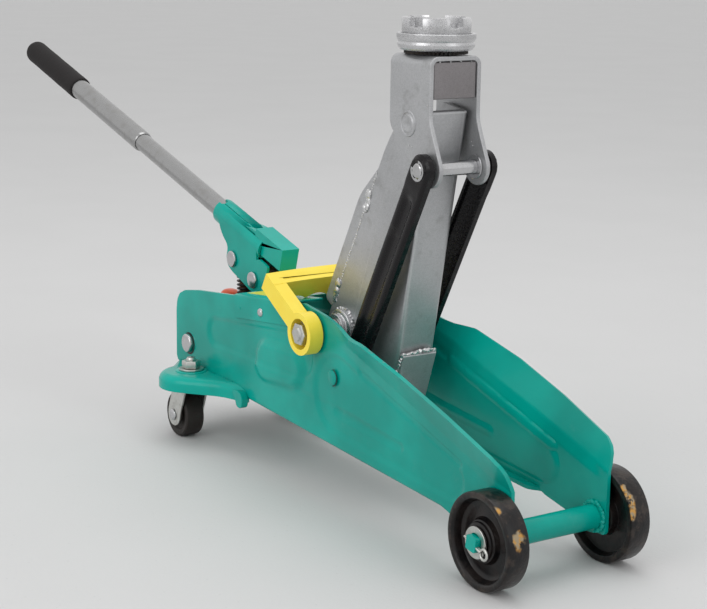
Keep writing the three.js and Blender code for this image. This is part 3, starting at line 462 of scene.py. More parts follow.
def gridCut(bm, stepX, stepZ, low, high):
    # cuts a flat face into cells, so that it can be pressed
    for axis, step in ((0, stepX), (2, stepZ)):
        normal = (1, 0, 0) if axis == 0 else (0, 0, 1)
        count = int((high[axis // 2] - low[axis // 2]) / step)
        for k in range(1, count + 1):
            spot = low[axis // 2] + k * step
            point = (spot, 0, 0) if axis == 0 else (0, 0, spot)
            bmesh.ops.bisect_plane(bm, geom=bm.verts[:] + bm.edges[:] + bm.faces[:], plane_co=point,
                                   plane_no=normal, dist=0.001)
    return bm


def step01(value, low, high):
    t = min(1, max(0, (value - low) / (high - low)))
    return t * t * (3 - 2 * t)


# 1 inside a slot with round ends between two points, falling to 0 over a slope
def slotAt(x, z, start, end, radius, slope):
    a = Vector(start)
    along = Vector(end) - a
    part = min(1, max(0, (Vector((x, z)) - a).dot(along) / max(along.length_squared, 1e-6)))
    return 1 - step01((Vector((x, z)) - a - part * along).length, radius - slope, radius)


def lookUp(table, x):
    # the straight line between the points of a table
    for (x0, v0), (x1, v1) in zip(table, table[1:]):
        if x <= x1:
            return v0 + (v1 - v0) * max(0, x - x0) / (x1 - x0)
    return table[-1][1]


# Lumpy weld metal: overlapping blobs along a line, each one pushed about.
def weldBead(points, radius, pitch, seed, flat=(1, 1, 1), rough=0.35):
    random.seed(seed)
    blobs = []
    for start, end in zip(points, points[1:]):
        a, b = Vector(start), Vector(end)
        count = max(1, round((b - a).length / pitch))
        for k in range(count):
            at = a.lerp(b, (k + 0.5) / count) + Vector([random.uniform(-0.25, 0.25) * radius for _ in range(3)])
            size = [random.uniform(0.8, 1.15) * c for c in flat]
            blob = ball(radius, (0, 0, 0), size, 2)
            for vert in blob.verts:
                push = noise.noise(vert.co * (0.9 / radius) + at)
                vert.co *= 1 + rough * push
            blobs.append(moved(blob, at))
    return joined(*blobs)


def makePiece(name, bm, base, body, material, nodes=(), edge=0.0, segments=2, limit=32, sharp=38):
    bmesh.ops.transform(bm, matrix=base, verts=bm.verts)
    for face in bm.faces:
        face.smooth = True
    made = asObject(bm, name)
    made.data.materials.append(materials[material])
    if edge:
        bevel = made.modifiers.new("edges", "BEVEL")
        bevel.width = edge / 1000
        bevel.segments = segments
        bevel.angle_limit = math.radians(limit)
        bevel.harden_normals = True
    else:
        made.data.set_sharp_from_angle(angle=math.radians(sharp))
    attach(made, body)
    if nodes:
        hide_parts(*nodes)
    return made


# ---- Camera, floor and light ----

camera = {"at": (1.1964, -0.6892, 0.4043), "yaw": 146.4, "pitch": -12.25, "roll": 0.82, "lens": 87.96}
studio = {
    "floor": (0.61, 0.61, 0.61),
    "sky": (1.0, 1.0, 1.0),
    "skyStrength": 0.82,
}


def placeCamera():
    yaw, pitch, roll = (math.radians(camera[key]) for key in ("yaw", "pitch", "roll"))
    ahead = Vector((math.cos(pitch) * math.cos(yaw), math.cos(pitch) * math.sin(yaw), math.sin(pitch)))
    right = ahead.cross(Vector((0, 0, 1))).normalized()
    up = right.cross(ahead)
    right, up = math.cos(roll) * right + math.sin(roll) * up, math.cos(roll) * up - math.sin(roll) * right
    data = bpy.data.cameras.new("camera")
    data.lens = camera["lens"]
    data.sensor_width = 36
    made = bpy.data.objects.new("camera", data)
    scene.collection.objects.link(made)
    turn = Matrix((right, up, -ahead)).transposed().to_4x4()
    made.matrix_world = Matrix.Translation(camera["at"]) @ turn
    scene.camera = made


def softbox(name, at, towards, size, power, colour=(1, 1, 1)):
    data = bpy.data.lights.new(name, "AREA")
    data.shape = "RECTANGLE"
    data.size, data.size_y = size
    data.energy = power
    data.color = colour
    made = bpy.data.objects.new(name, data)
    scene.collection.objects.link(made)
    turn = (Vector(towards) - Vector(at)).to_track_quat("-Z", "Y").to_matrix().to_4x4()
    made.matrix_world = Matrix.Translation(at) @ turn


def layStage():
    bm = bmesh.new()
    bmesh.ops.create_circle(bm, cap_ends=True, segments=96, radius=40)
    floor = asObject(bm, "floor")
    f = Finish("paleFloor")
    cloudy = f.grain(180, 5).between(0.3, 0.7)
    specks = f.cells(9).between(0.06, 0.1)
    tone = f.mix(cloudy, tuple(0.98 * c for c in studio["floor"]), studio["floor"])
    tone = f.mix((1 - specks) * 0.12, tone, (0.3, 0.3, 0.3))
    normal = f.bump(f.grain(3, 6), 0.15)
    floor.data.materials.append(f.done({"Base Color": tone, "Normal": normal}, Roughness=0.75))
    scene.world = bpy.data.worlds.new("studio")
    scene.world.use_nodes = True
    sky = scene.world.node_tree.nodes["Background"]
    sky.inputs["Color"].default_value = (*studio["sky"], 1)
    sky.inputs["Strength"].default_value = studio["skyStrength"]
    scene.view_settings.view_transform = "Standard"


placeCamera()
layStage()
softbox("overhead", (0.1, 0.2, 1.9), (0.1, 0, 0.1), (1.6, 1.2), 9)
softbox("leftKey", (0.5, -1.9, 1.2), (0.1, 0, 0.15), (1.2, 1.4), 9)
softbox("frontFill", (2.1, 0.5, 1.0), (0.3, 0, 0.15), (0.9, 1.2), 3)
print("camera and studio placed")


# ---- Side plates ----

plate = {
    "inner": 38.2,
    "sheet": 2.6,
    "front": 10.9,
    "rear": -433,
    "foldZ": 67.2,
    "foldSlope": 0.2967,
    "top": ((-433, 96), (-431.5, 105), (-427, 111), (-418, 115), (-395, 119), (-234.3, 137.2), (-208, 136.2),
            (-190, 131.5), (-177, 125.5), (-165, 120.5), (-150, 111.8)),
    "bottom": ((-433, 58), (-431, 54), (-425, 52.5), (-56, 33), (-21, 26.3), (-12, 22.8), (-4, 21.6), (9.5, 21.5),
               (10.9, 24)),
    "flange": ((-96, 0), (-60, 6), (-28, 9), (-20, 10.5), (0, 17), (50, 20.5), (101, 20), (150, 17), (158, 14.5),
               (162, 11.5), (165.5, 6), (168, 0)),
    "lean": (29, 22),
    "creaseDrop": 7.4,
    "creaseLean": 13,
    "underFlange": 8.3,
    "pressed": (
        # start, end, radius at each, slope, depth outwards
        ((-368, 90), (-240, 98), 13, 19, 4.5, -1.7),
        ((-287, 84), (-250, 86), 19, 18, 8, 3.4),
        ((-190, 80), (-52, 55), 30, 15, 3.5, -1.3),
        ((-190, 67.5), (-112, 61.5), 4.2, 4, 2.6, -1.1),
        ((-160, 102.6), (-44, 68.3), 3.6, 3.6, 2.2, -1.5),
        ((-242, 71), (-196, 69.5), 1.8, 1.8, 1.5, -0.5),
    ),
    "columns": 236,
    "rows": 46,
}
plateOuter = plate["inner"] + plate["sheet"]


def pressedAt(x, z):
    depth = 0
    for start, end, first, last, slope, lift in plate["pressed"]:
        a, along = Vector(start), Vector(end) - Vector(start)
        part = min(1, max(0, (Vector((x, z)) - a).dot(along) / along.length_squared))
        radius = first + (last - first) * part
        far = (Vector((x, z)) - a - part * along).length
        depth += lift * (1 - step01(far, radius - slope, radius))
    return depth


# A point of the plate's outer face: across runs from the flange under the plate, up the web, to the top flange.
def platePoint(x, across):
    foldLength = 161.2 * math.hypot(1, plate["foldSlope"])
    along = (x + 150.3) * math.hypot(1, plate["foldSlope"])
    flange = lookUp(plate["flange"], along)
    line = plate["foldZ"] - x * plate["foldSlope"]
    fold = min(line, lookUp(plate["top"], x)) if x < -150.3 else line
    low = lookUp(plate["bottom"], x)
    under = step01(x, -432, -424) * (1 - step01(x, -66, -52))
    bend = 3 * under
    if across < 0:
        reach = (plate["underFlange"] - bend) * under * -across
        return Vector((x, plateOuter - bend - reach, low))
    if across <= 1:
        angle = 0.5 * math.pi * across
        return Vector((x, plateOuter - bend + bend * math.sin(angle), low + bend * (1 - math.cos(angle))))
    # the web leans out a little above the crease, then the flange leans out further above its fold
    creased = step01(x, -205, -160) * (1 - step01(along, 150, 165))
    outAt = math.tan(math.radians(plate["creaseLean"])) * creased
    if across <= 2:
        z = low + bend + (fold - low - bend) * (across - 1)
        above = max(0, z - line + plate["creaseDrop"])
        return Vector((x, plateOuter + pressedAt(x, z) + outAt * above, z))
    first, last = plate["lean"]
    lean = math.radians(first + (last - first) * along / foldLength) * step01(x, -205, -160)
    reach = flange * (across - 2)
    tilt = math.atan(plate["foldSlope"]) * step01(x, -235, -200)
    up = reach * math.cos(lean)
    out = outAt * plate["creaseDrop"] + reach * math.sin(lean)
    return Vector((x + up * math.sin(tilt), plateOuter + out, fold + up * math.cos(tilt)))


def sidePlate():
    under = [-1, -0.5, 0, 0.33, 0.66]
    web = [1 + k / plate["rows"] for k in range(plate["rows"])]
    flange = [2 + k / 14 for k in range(15)]
    rows = under + web + flange
    bm = bmesh.new()
    bmesh.ops.create_grid(bm, x_segments=plate["columns"], y_segments=len(rows) - 1, size=1)
    for vert in bm.verts:
        part = (vert.co.x + 1) / 2
        part = 0.6 * part + 0.4 * (1 - math.cos(math.pi * part)) / 2
        across = rows[round((vert.co.y + 1) / 2 * (len(rows) - 1))]
        x = plate["rear"] + (plate["front"] - plate["rear"]) * part
        vert.co = platePoint(x, across)
    bmesh.ops.remove_doubles(bm, verts=bm.verts, dist=0.05)
    bmesh.ops.dissolve_degenerate(bm, edges=bm.edges, dist=0.05)
    bmesh.ops.recalc_face_normals(bm, faces=bm.faces)
    if sum(face.normal.y * face.calc_area() for face in bm.faces) < 0:
        bmesh.ops.reverse_faces(bm, faces=bm.faces)
    return bm


def makeSidePlates():
    for word, side in sides:
        bm = sidePlate() if side > 0 else mirrored(sidePlate())
        made = makePiece(f"SidePlate_{word}", bm, frameBase, "frame", "panel", [f"side_plate_{word}"])
        made.modifiers.new("sheet", "SOLIDIFY").thickness = plate["sheet"] / 1000
        made.modifiers["sheet"].offset = -1
        bevel = made.modifiers.new("edges", "BEVEL")
        bevel.width = 0.0007
        bevel.segments = 2
        bevel.angle_limit = math.radians(50)
        bevel.harden_normals = True
    print("side plates made")


# ---- Front axle and wheels ----

axle = {
    "bar": 8.2,
    "stub": 6,
    "stubEnd": 5.5,
    "wheelGap": 0.8,
    "washer": 10.5,
    "washerThick": 1.6,
    "cotter": 1.3,
    "cotterLean": -70,
    "cotterRing": 3.4,
}
wheel = {
    "radius": 32,
    "width": 16.5,
    "lip": 27.3,
    "dish": 8.2,
    "hub": 13,
}
wheelInner = plateOuter + axle["wheelGap"]
wheelOuter = wheelInner + wheel["width"]


def makeFrontAxle():
    inner = plate["inner"] - 0.3
    end = wheelOuter + axle["stubEnd"]
    flat = wheelOuter + 0.2
    parts = [turned([(0, -flat), (axle["stub"], -flat), (axle["stub"], -inner), (axle["bar"], -inner),
                     (axle["bar"], inner), (axle["stub"], inner), (axle["stub"], flat), (0, flat)], 48)]
    for _, side in sides:
        half = axle["stub"] - 1.2
        square = slab([(-half, -half, 1.3), (half, -half, 1.3), (half, half, 1.3), (-half, half, 1.3)],
                      min(side * (flat - 2), side * end), max(side * (flat - 2), side * end), 3)
        parts.append(turnedBy(square, "Y", 8))
        turn = [math.radians(a) for a in range(0, 361, 24)]
        around = [((axle["bar"] + 1.2) * math.cos(a), side * (inner - 0.7), (axle["bar"] + 1.2) * math.sin(a)) for a in turn]
        parts.append(weldBead(around, 1.9, 2.2, 5 + side, (1, 0.8, 1)))
        # the corner piece that stiffens the bar's end
        gusset = slab([(-19, -5, 1), (-5, -11, 2), (4, -10, 1), (4, 2), (-19, 1)],
                      min(side * (inner - 3), side * inner), max(side * (inner - 3), side * inner))
        parts.append(gusset)
    bm = moved(joined(*parts), (0, 0, wheelCentre.z))
    makePiece("FrontAxle", bm, frameBase, "frame", "green", ["front_axle"], 0.35)


def wheelShape():
    half, outer, lip, hub = wheel["width"] / 2, wheel["radius"], wheel["lip"], wheel["hub"]
    floor = half - wheel["dish"]
    return turned([
        (6.3, -half), (hub, -half), (hub + 1, -3.4), (lip - 2, -3.4), (lip, -half + 0.3), (outer - 1.2, -half),
        (outer - 0.35, -half + 0.35), (outer, -half + 1.3), (outer, half - 1.5), (outer - 0.4, half - 0.5),
        (outer - 1.4, half), (lip + 1.0, half - 0.1), (lip + 0.2, half - 0.6), (lip - 0.6, half - 2.2),
        (lip - 1.8, floor + 1.4), (lip - 3.4, floor + 0.2), (lip - 5.2, floor), (hub + 4.2, floor + 1.1),
        (hub + 2.4, floor + 1.6), (hub + 1.6, floor + 3.2), (hub + 0.9, half - 3.0), (hub - 0.1, half - 2.5),
        (hub - 0.5, half - 0.9), (hub - 1.4, half - 0.5), (6.3, half - 0.5), (6.3, -half),
    ], 96)


def wheelSkin(name, centre, angles):
    # the scraped patches are given by their angle from straight ahead, place across the tread and radius
    f = Finish(name)
    x, z = f.axis(0) * 1000 - centre.x, f.axis(2) * 1000 - centre.z
    radius = (x * x + z * z).maths("SQRT")
    rimBand = radius.between(wheel["radius"] - 4.4, wheel["radius"] - 3.6)
    edge = radius.between(wheel["radius"] - 1.1, wheel["radius"] - 0.5)
    scraped = 0
    for angle, across, size in angles:
        turn = math.radians(angle)
        at = centre + Vector((wheel["radius"] * math.cos(turn), across, wheel["radius"] * math.sin(turn)))
        scraped = f.spot(at, size, 1.4, 6) + scraped
    ragged = f.grain(5, 5, 0.6).between(0.36, 0.48)
    scraped = (scraped * ragged).within() * edge
    rubbed = (f.grain(9, 6, 0.75).between(0.5, 0.62) * rimBand * 0.5).within()
    black = f.mix(f.grain(12, 5).between(0.4, 0.65), (0.003, 0.0025, 0.003), (0.013, 0.009, 0.008))
    ochre = f.mix(f.grain(3.6, 4).between(0.44, 0.56), (0.34, 0.27, 0.17), (0.52, 0.27, 0.06))
    tone = f.mix(rubbed * 0.5, black, (0.12, 0.09, 0.07))
    tone = f.mix(scraped, tone, ochre)
    roughness = 0.27 + f.grain(6, 5) * 0.12 + rubbed * 0.25 + scraped * 0.3
    runs = f.bump(f.grain(5, 4), 0.5)
    normal = f.bump(f.grain(1.1, 5, 0.7) - scraped * 0.4, 0.12, after=runs)
    varied = {"Base Color": tone, "Roughness": roughness, "Normal": normal}
    return f.done(varied, Coat_Weight=0.1, Coat_Roughness=0.1, Specular_IOR_Level=0.3)


def makeWheels():
    wear = {
        "right": ((18, 1, 4.6), (11, -1, 3.6), (56, -8, 1.4), (24, -8, 1.3), (250, 4, 3)),
        "left": ((50, -7, 2.2), (42, -7, 2.6), (34, -6.5, 3), (26, -6.5, 3), (18, -7, 2.6), (120, 5, 3)),
    }
    for word, side in sides:
        centre = jointAt(f"{word}_front_wheel_spin")
        materials[f"wheel_{word}"] = wheelSkin(f"wheelEnamel_{word}", centre, wear[word])
        bm = wheelShape() if side > 0 else mirrored(wheelShape())
        makePiece(f"FrontWheel_{word}", bm, baseAt(centre), f"{word}_front_wheel", f"wheel_{word}",
                  [f"front_wheel_{word}"], 0.25)
        washer = wheelOuter + 0.3
        base = baseAt((wheelCentre.x, 0, wheelCentre.z))
        bm = ring(axle["stub"] + 0.3, axle["washer"], washer, washer + axle["washerThick"], steps=64)
        makePiece(f"WheelWasher_{word}", bm if side > 0 else mirrored(bm), base, "frame", "zinc",
                  [f"wheel_washer_{word}"], 0.15)
        makePiece(f"CotterPin_{word}", cotterPin(side), base, "frame", "zinc", [f"cotter_pin_{word}"])
    print("axle and wheels made")


# A split pin: two half-round legs through the stub, opened at their tips, and an eye.
def cotterPin(side):
    size = axle["cotter"]
    legs = []
    for lean in (-1, 1):
        leg = rod(size * 0.62, -9.5, 8.2, steps=16, edge=0.2)
        alongZ(leg)
        moved(leg, (0, lean * 0.62 * size, 0))
        tip = alongZ(rod(size * 0.62, 0, 4.4, steps=16, edge=0.2))
        turnedBy(tip, "X", lean * -38 - 180)
        legs += [leg, moved(tip, (0, lean * 0.62 * size, 8))]
    eye = bmesh.new()
    verts = [eye.verts.new((axle["cotterRing"] + size * 0.8 * math.cos(a), size * 0.8 * math.sin(a), 0))
             for a in (2 * math.pi * k / 12 for k in range(12))]
    edges = [eye.edges.new((verts[k], verts[(k + 1) % 12])) for k in range(12)]
    bmesh.ops.spin(eye, geom=verts + edges, axis=(0, 1, 0), angle=2 * math.pi, steps=32, use_merge=True)
    settle(eye)
    moved(eye, (0, 0, -12))
    pin = turnedBy(joined(eye, *legs), "Y", axle["cotterLean"])
    across = wheelOuter + 0.3 + axle["washerThick"] + 0.3 + size
    return moved(pin, (0, side * across, 0))


makeSidePlates()
makeFrontAxle()
makeWheels()


# ---- Lift arm ----

arm = {
    "half": 15.2,
    "wall": 3,
    "back": 21,
    "taper": 0.3213,
    "topDepth": 11,
    "topReach": 16,
    "toeTop": 27,
    "toeBottom": -8,
    "boss": 14.5,
    "lever": (45, -50),
}


def armFront(s):
    return arm["topDepth"] + arm["taper"] * (armLength + arm["topReach"] - s)


leverTurn = math.radians(arm["lever"][1] - armAngle)
roller = (arm["lever"][0] * math.cos(leverTurn), arm["lever"][0] * math.sin(leverTurn))


def makeArm():
    half, wall, back = arm["half"], arm["wall"], arm["back"]
    toe = armFront(arm["toeTop"])
    corners = [(armLength + 7, 14, 3), (armLength + arm["topReach"], -arm["topDepth"], 2), (arm["toeTop"], -toe),
               (arm["toeBottom"], -toe - 6), (roller[0] - 8, roller[1] - 10, 4), (roller[0] - 11, roller[1] + 4, 6),
               (-18, -8, 6), (-16, 12, 8), (-6, back, 6), (armLength - 30, back, 10)]
    body = slab(corners, -half, half)
    folds = [e for e in body.edges if abs(e.verts[0].co.y - e.verts[1].co.y) < 0.01
             and max(-v.co.z - armFront(v.co.x) for v in e.verts) > -0.6 and e.calc_length() > 20]
    bmesh.ops.bevel(body, geom=folds, offset=3.4, affect="EDGES", segments=5, profile=0.5, material=-1)
    front = wall + 0.4
    inside = slab([(armLength + 60, 60), (armLength + 60, front - armFront(armLength + 60)), (arm["toeTop"], front - toe),
                   (arm["toeBottom"] - 40, front - toe - 6), (arm["toeBottom"] - 40, 60)], wall - half, half - wall)
    shell = carved(body, inside, rod(8.3, -20, 20))
    makePiece("LiftArm", shell, armBase, "lift_arm_assembly", "silver", ["lift_arm"], 0.5)

    base = back + 0.3
    cover = slab([(4, base, 1), (4, base + 10, 4), (98, base + 10, 6), (128, base)], 0.2 - half, half - 0.2)
    hollow = slab([(2, base - 1), (2, base + 7.5), (96, base + 7.5), (119, base - 1)], 2.5 - half, half - 2.5)
    folded = carved(cover, hollow)
    makePiece("ArmBackPlate", folded, armBase, "lift_arm_assembly", "silver", ["arm_back_plate"], 0.9, 3)

    seams = []
    for side in (-1, 1):
        # two long blobs of weld near the ends of the seam, and small beads along all of it
        for start, end, seed in ((9, 27, 3), (92, 108, 8)):
            seams.append(weldBead([(start, side * half, base - 1.5), (end, side * half, base + 0.5)], 3.1, 3.2,
                                  seed + side, (1.15, 0.5, 1), 0.55))
        seams.append(weldBead([(6, side * half, base - 0.6), (124, side * half, base - 0.6)], 1.0, 2.1, 20 + side,
                              (1, 0.4, 1), 0.5))
    makePiece("ArmSeamWelds", joined(*seams), armBase, "lift_arm_assembly", "weld")

    top = toe + 0.4
    plateHalf = half - 1.0
    toePlate = slab([(arm["toeTop"] + 3, -top - 3.4, 0.8), (arm["toeBottom"], -top - 9.4, 3),
                     (arm["toeBottom"], -top - 6), (arm["toeTop"] + 3, -top + 0.6)], -plateHalf, plateHalf, 4)
    makePiece("ArmToePlate", toePlate, armBase, "lift_arm_assembly", "silver", ["arm_toe_plate"], 0.8)
    y, s0, s1 = plateHalf - 0.5, arm["toeTop"] + 3.4, arm["toeBottom"] + 1
    z0, z1 = -top - 1.6, -top - 7.6
    around = [
        weldBead([(s0, -y, z0), (s0, -3, z0 + 0.3), (s0 + 1.5, 5, z0), (s0, y, z0)], 1.9, 2.4, 31, (0.9, 1, 0.7), 0.7),
        weldBead([(s0, y, z0), (s1 + 12, y + 0.8, (z0 + z1) / 2), (s1, y, z1)], 1.6, 2.6, 33, (1, 0.7, 0.9), 0.7),
        weldBead([(s0, -y, z0), (s1 + 20, -y - 1.2, (z0 + z1) / 2 + 2)], 1.5, 2.6, 37, (1, 0.7, 0.9), 0.7),
        weldBead([(s1 + 12, -y - 0.6, (z0 + z1) / 2), (s1, -y, z1)], 2.4, 3.4, 39, (1, 0.7, 1), 0.8),
    ]
    makePiece("ArmToeWelds", joined(*around), armBase, "lift_arm_assembly", "weld")

    inner = half + 0.3
    for word, side in sides:
        boss = turned([(8.3, inner), (arm["boss"], inner), (arm["boss"], inner + 3.4), (arm["boss"] - 0.8, inner + 4),
                       (11.8, inner + 4.4), (11.5, inner + 5), (11.5, inner + 7.6), (11.1, inner + 8),
                       (8.3, inner + 8), (8.3, inner)], 64)
        turn = [math.radians(a) for a in range(0, 361, 20)]
        fillet = weldBead([(14.6 * math.cos(a), inner + 0.2, 14.6 * math.sin(a)) for a in turn], 1.7, 2.3, 41,
                          (1, 0.8, 1), 0.5)
        bm = joined(boss, fillet) if side > 0 else mirrored(joined(boss, fillet))
        makePiece(f"ArmBoss_{word}", bm, armBase, "lift_arm_assembly", "bright", [f"arm_boss_{word}"], 0.3)
    bm = rod(6, -half - 1.5, half + 1.5, roller, 0.8)
    makePiece("RamRoller", bm, armBase, "lift_arm_assembly", "zinc", ["ram_roller"])
    print("lift arm made")


# ---- Saddle head ----

head = {
    "half": 21,
    "wall": 3.2,
    "height": 45.8,
    "front": 24.1,
    "rear": -22,
    "eye": 12.5,
    "link": (24.7, -28.3),
    "blockBottom": 17.6,
    "pivot": 6,
    "linkPin": 5,
}


def makeHead():
    half, wall, top = head["half"], head["wall"], head["height"]
    linkX, linkZ = head["link"]
    eye = head["eye"]
    low = linkZ - eye
    # the folded section, from the front, then cut to the cheeks' outline
    outer = slab([(-half, low - 4), (-half, top, 6.5), (half, top, 6.5), (half, low - 4)], head["rear"] - 20, 60, 8)
    inner = slab([(wall - half, low - 6), (wall - half, top - wall, 3.4), (half - wall, top - wall, 3.4),
                  (half - wall, low - 6)], head["rear"] - 22, 62, 8)
    section = turnedBy(carved(outer, inner), "Z", -90)
    tangent = [(linkX + eye * math.cos(a), linkZ + eye * math.sin(a))
               for a in (math.radians(d) for d in range(224, 381, 12))]
    outline = [(head["rear"], top + 1), (head["rear"], -2.7, 5), *tangent, (head["front"] + 3.2, -4, 3.5),
               (head["front"], 4, 3.5), (head["front"], top + 1)]
    cheeks = slab(outline, -half - 1, half + 1)
    bracket = carved(section, cheeks, keep="INTERSECT")
    bracket = carved(bracket, rod(5.3, -30, 30, head["link"]))
    makePiece("HeadBracket", bracket, headBase, "saddle_head", "silver", ["head_bracket"], 0.7, 3, 40)

    side = half - wall - 0.5
    ceiling = top - wall - 0.6
    front = head["front"] - 0.9
    block = slab([(front, head["blockBottom"], 1), (front, ceiling, 1), (head["rear"] + 3, ceiling),
                  (head["rear"] + 3, 31), (3, head["blockBottom"])], -side, side)
    makePiece("HeadBlock", block, headBase, "saddle_head", "shaded", ["head_block"], 1.2, 3)
    scraps = weldBead([(front + 0.2, -side, ceiling), (front + 0.2, side, ceiling)], 0.5, 9, 51, (1, 1, 1), 0.6)
    spatter = [ball(0.55, at) for at in ((front - 1, -half - 0.1, 14), (2, -half - 0.1, -14.4), (5, -half - 0.1, -15.2),
                                         (front - 3, half - wall - 0.2, -12), (front - 2, half - wall - 0.2, -14.5))]
    makePiece("HeadSpatter", joined(scraps, *spatter), headBase, "saddle_head", "weld")

    # the pivot pin's ends are riveted over the cheeks and painted with them
    end = half
    rivet = [(0, end + 0.55), (2.6, end + 0.35), (3.4, end + 0.75), (5.6, end + 0.9), (6.6, end + 0.3), (7.1, end + 0.1),
             (7.6, end + 0.7), (8.6, end + 0.65), (9.1, end - 0.2)]
    profile = [(r, -y) for r, y in rivet] + [(6, -end), (6, end)] + rivet[::-1]
    makePiece("HeadPivotPin", turned(profile, 64), headBase, "saddle_head", "silver",
              ["head_pivot_pin"], 0.2)

    # the link pin runs across the mouth, with a washer inside each cheek and a clip outside each link
    linkOuter = link["inner"] + link["depth"]
    tip = linkOuter + 1.5
    pin = [rod(head["linkPin"], -tip, tip, edge=0.7, steps=48)]
    for turn in (-1, 1):
        washer = half - wall - 1.6
        pin.append(ring(5.2, 8.4, min(turn * washer, turn * (washer + 1.4)), max(turn * washer, turn * (washer + 1.4))))
        pin.append(clipRing(turn * (linkOuter + 0.1), turn))
    makePiece("HeadLinkPin", moved(joined(*pin), (linkX, 0, linkZ)), headBase, "saddle_head", "chrome",
              ["head_link_pin"])
    print("saddle head made")


# A spring clip: three lugs that bite on the pin, open on one side.
def clipRing(y, turn):
    corners = []
    for degrees in range(-140, 141, 20):
        a = math.radians(degrees)
        corners.append((7.2 * math.cos(a), 7.2 * math.sin(a)))
    for degrees in range(140, -141, -20):
        a = math.radians(degrees)
        reach = 4.9 if degrees % 60 == 20 or degrees in (-140, 0, 140) else 5.8
        corners.append((reach * math.cos(a), reach * math.sin(a)))
    return turnedBy(slab(corners, min(y, y + turn * 0.8), max(y, y + turn * 0.8)), "Y", 60)


# ---- Saddle ----

saddle = {
    "radius": 26.7,
    "crown": 23.3,
    "base": 2.6,
    "ringTop": 14.2,
    "top": 24.6,
    "stem": 8,
    "prongs": 5,
    "notch": 27,
    "turn": -127,
}


def makeSaddle():
    outer, base, rim = saddle["radius"], saddle["base"], saddle["ringTop"]
    cup = turned([(0, -11), (saddle["stem"], -11), (saddle["stem"], 0.4), (18.6, 0.4), (18.6, base), (22.5, base),
                  (24.4, base + 0.7), (25.6, base + 2.2), (26.1, base + 3.6), (26.0, base + 4.8), (25.5, base + 5.7),
                  (25.5, base + 6.3), (26.2, base + 7.2), (outer, base + 8.4), (outer, rim - 0.4), (outer - 0.5, rim),
                  (24.6, rim), (24.1, rim - 0.5), (23.9, base + 3), (0, base + 3)], 96)
    makePiece("SaddleRing", alongZ(cup), saddleBase, "saddle", "bright", ["saddle_ring"], 0.2)

    # a toothed washer, dark, that also serves as a line of painted shade under the ring
    teeth = bmesh.new()
    bmesh.ops.create_cone(teeth, cap_ends=True, segments=88, radius1=21.6, radius2=21.6, depth=1.9)
    for k, vert in enumerate(sorted(teeth.verts, key=lambda v: math.atan2(v.co.y, v.co.x))):
        reach = 1 if k // 2 % 2 else 0.94
        vert.co.x *= reach
        vert.co.y *= reach
    moved(teeth, (0, 0, 1.5))
    makePiece("SaddleToothedWasherShade", teeth, saddleBase, "saddle", "dark")

    crown, top = saddle["crown"], saddle["top"]
    floor = base + 13.2
    body = alongZ(turned([(0, base + 3.3), (crown - 0.5, base + 3.3), (crown - 0.3, rim), (crown, rim + 1.5),
                          (crown, top - 1.4), (crown - 0.5, top - 0.4), (crown - 1.6, top), (crown - 3.6, top),
                          (crown - 4.8, top - 1.2), (crown - 5.3, floor + 1), (crown - 6.5, floor), (6, floor),
                          (5, floor - 1.5), (0, floor - 1.5)], 96))
    wide = 2 * crown * math.sin(math.radians(saddle["notch"] / 2))
    cutters = []
    for k in range(saddle["prongs"]):
        notch = slab([(-wide / 2, 20), (-wide / 2, 0, 1.6), (wide / 2, 0, 1.6), (wide / 2, 20)], crown - 9, crown + 5)
        moved(notch, (0, 0, top - 7.2))
        turnedBy(notch, "Z", 360 * (k + 0.5) / saddle["prongs"] + saddle["turn"])
        cutters.append(notch)
    makePiece("SaddleCrown", carved(body, *cutters), saddleBase, "saddle", "bright",
              ["saddle_crown"], 0.9, 3, 35)
    print("saddle made")


# ---- Levelling links ----

link = {
    "half": 10.8,
    "inner": 23.6,
    "depth": 6.2,
    "wall": 2.4,
    "groove": 2.0,
}


def linkShape():
    half, inner = link["half"], link["inner"]
    outer = inner + link["depth"]
    ends = [(-half, -half, half * 0.98), (armLength + half, -half, half * 0.98), (armLength + half, half, half * 0.98),
            (-half, half, half * 0.98)]
    face = cut(ends, 12)
    gridCut(face, 3, 1.2, (-half, -half), (armLength + half, half))
    body = thick(face, inner, outer)
    for vert in body.verts:
        s, z = vert.co.x, vert.co.z
        if vert.co.y > outer - 0.1:
            edge = half - math.hypot(max(0, abs(s - armLength / 2) - armLength / 2), z)
            dent = slotAt(s, z, (26, 0), (armLength - 27, 0), 6.2, 4.2)
            step = step01(s, 13, 19) * (1 - step01(s, armLength - 19, armLength - 13))
            vert.co.y -= link["groove"] * dent + 0.5 * step + 2.2 * (1 - step01(edge, -0.6, 2.6)) ** 1.6
    hollow = slab([(14, -half + link["wall"], 5), (armLength - 14, -half + link["wall"], 5),
                   (armLength - 14, half - link["wall"], 5), (14, half - link["wall"], 5)], inner - 2, outer - 4.6)
    return carved(body, hollow, rod(5.4, inner - 3, outer + 3, (armLength, 0)))


def makeLinks():
    linkOuter = link["inner"] + link["depth"]
    for word, side in sides:
        bm = linkShape()
        boss = ring(5.6, 8.6, linkOuter - 0.6, linkOuter + 0.15, (armLength, 0), 48)
        whole = joined(bm, boss)
        makePiece(f"Link_{word}", whole if side > 0 else mirrored(whole), linkBase, f"{word}_link",
                  "black", [f"link_{word}"], 0, sharp=30)
    print("links made")


makeArm()
makeHead()
makeSaddle()
makeLinks()


# ---- Shaft, pins and top cover ----

shaftEnd = {"radius": 8, "thread": 5.2, "washer": 13, "washerThick": 1.3, "eyeFloor": 4, "nut": 15, "pitch": 1.25}
gap = 0.3
washerY = plateOuter + gap
eyeY = washerY + shaftEnd["washerThick"] + gap
nutY = eyeY + shaftEnd["eyeFloor"] + 2 * gap


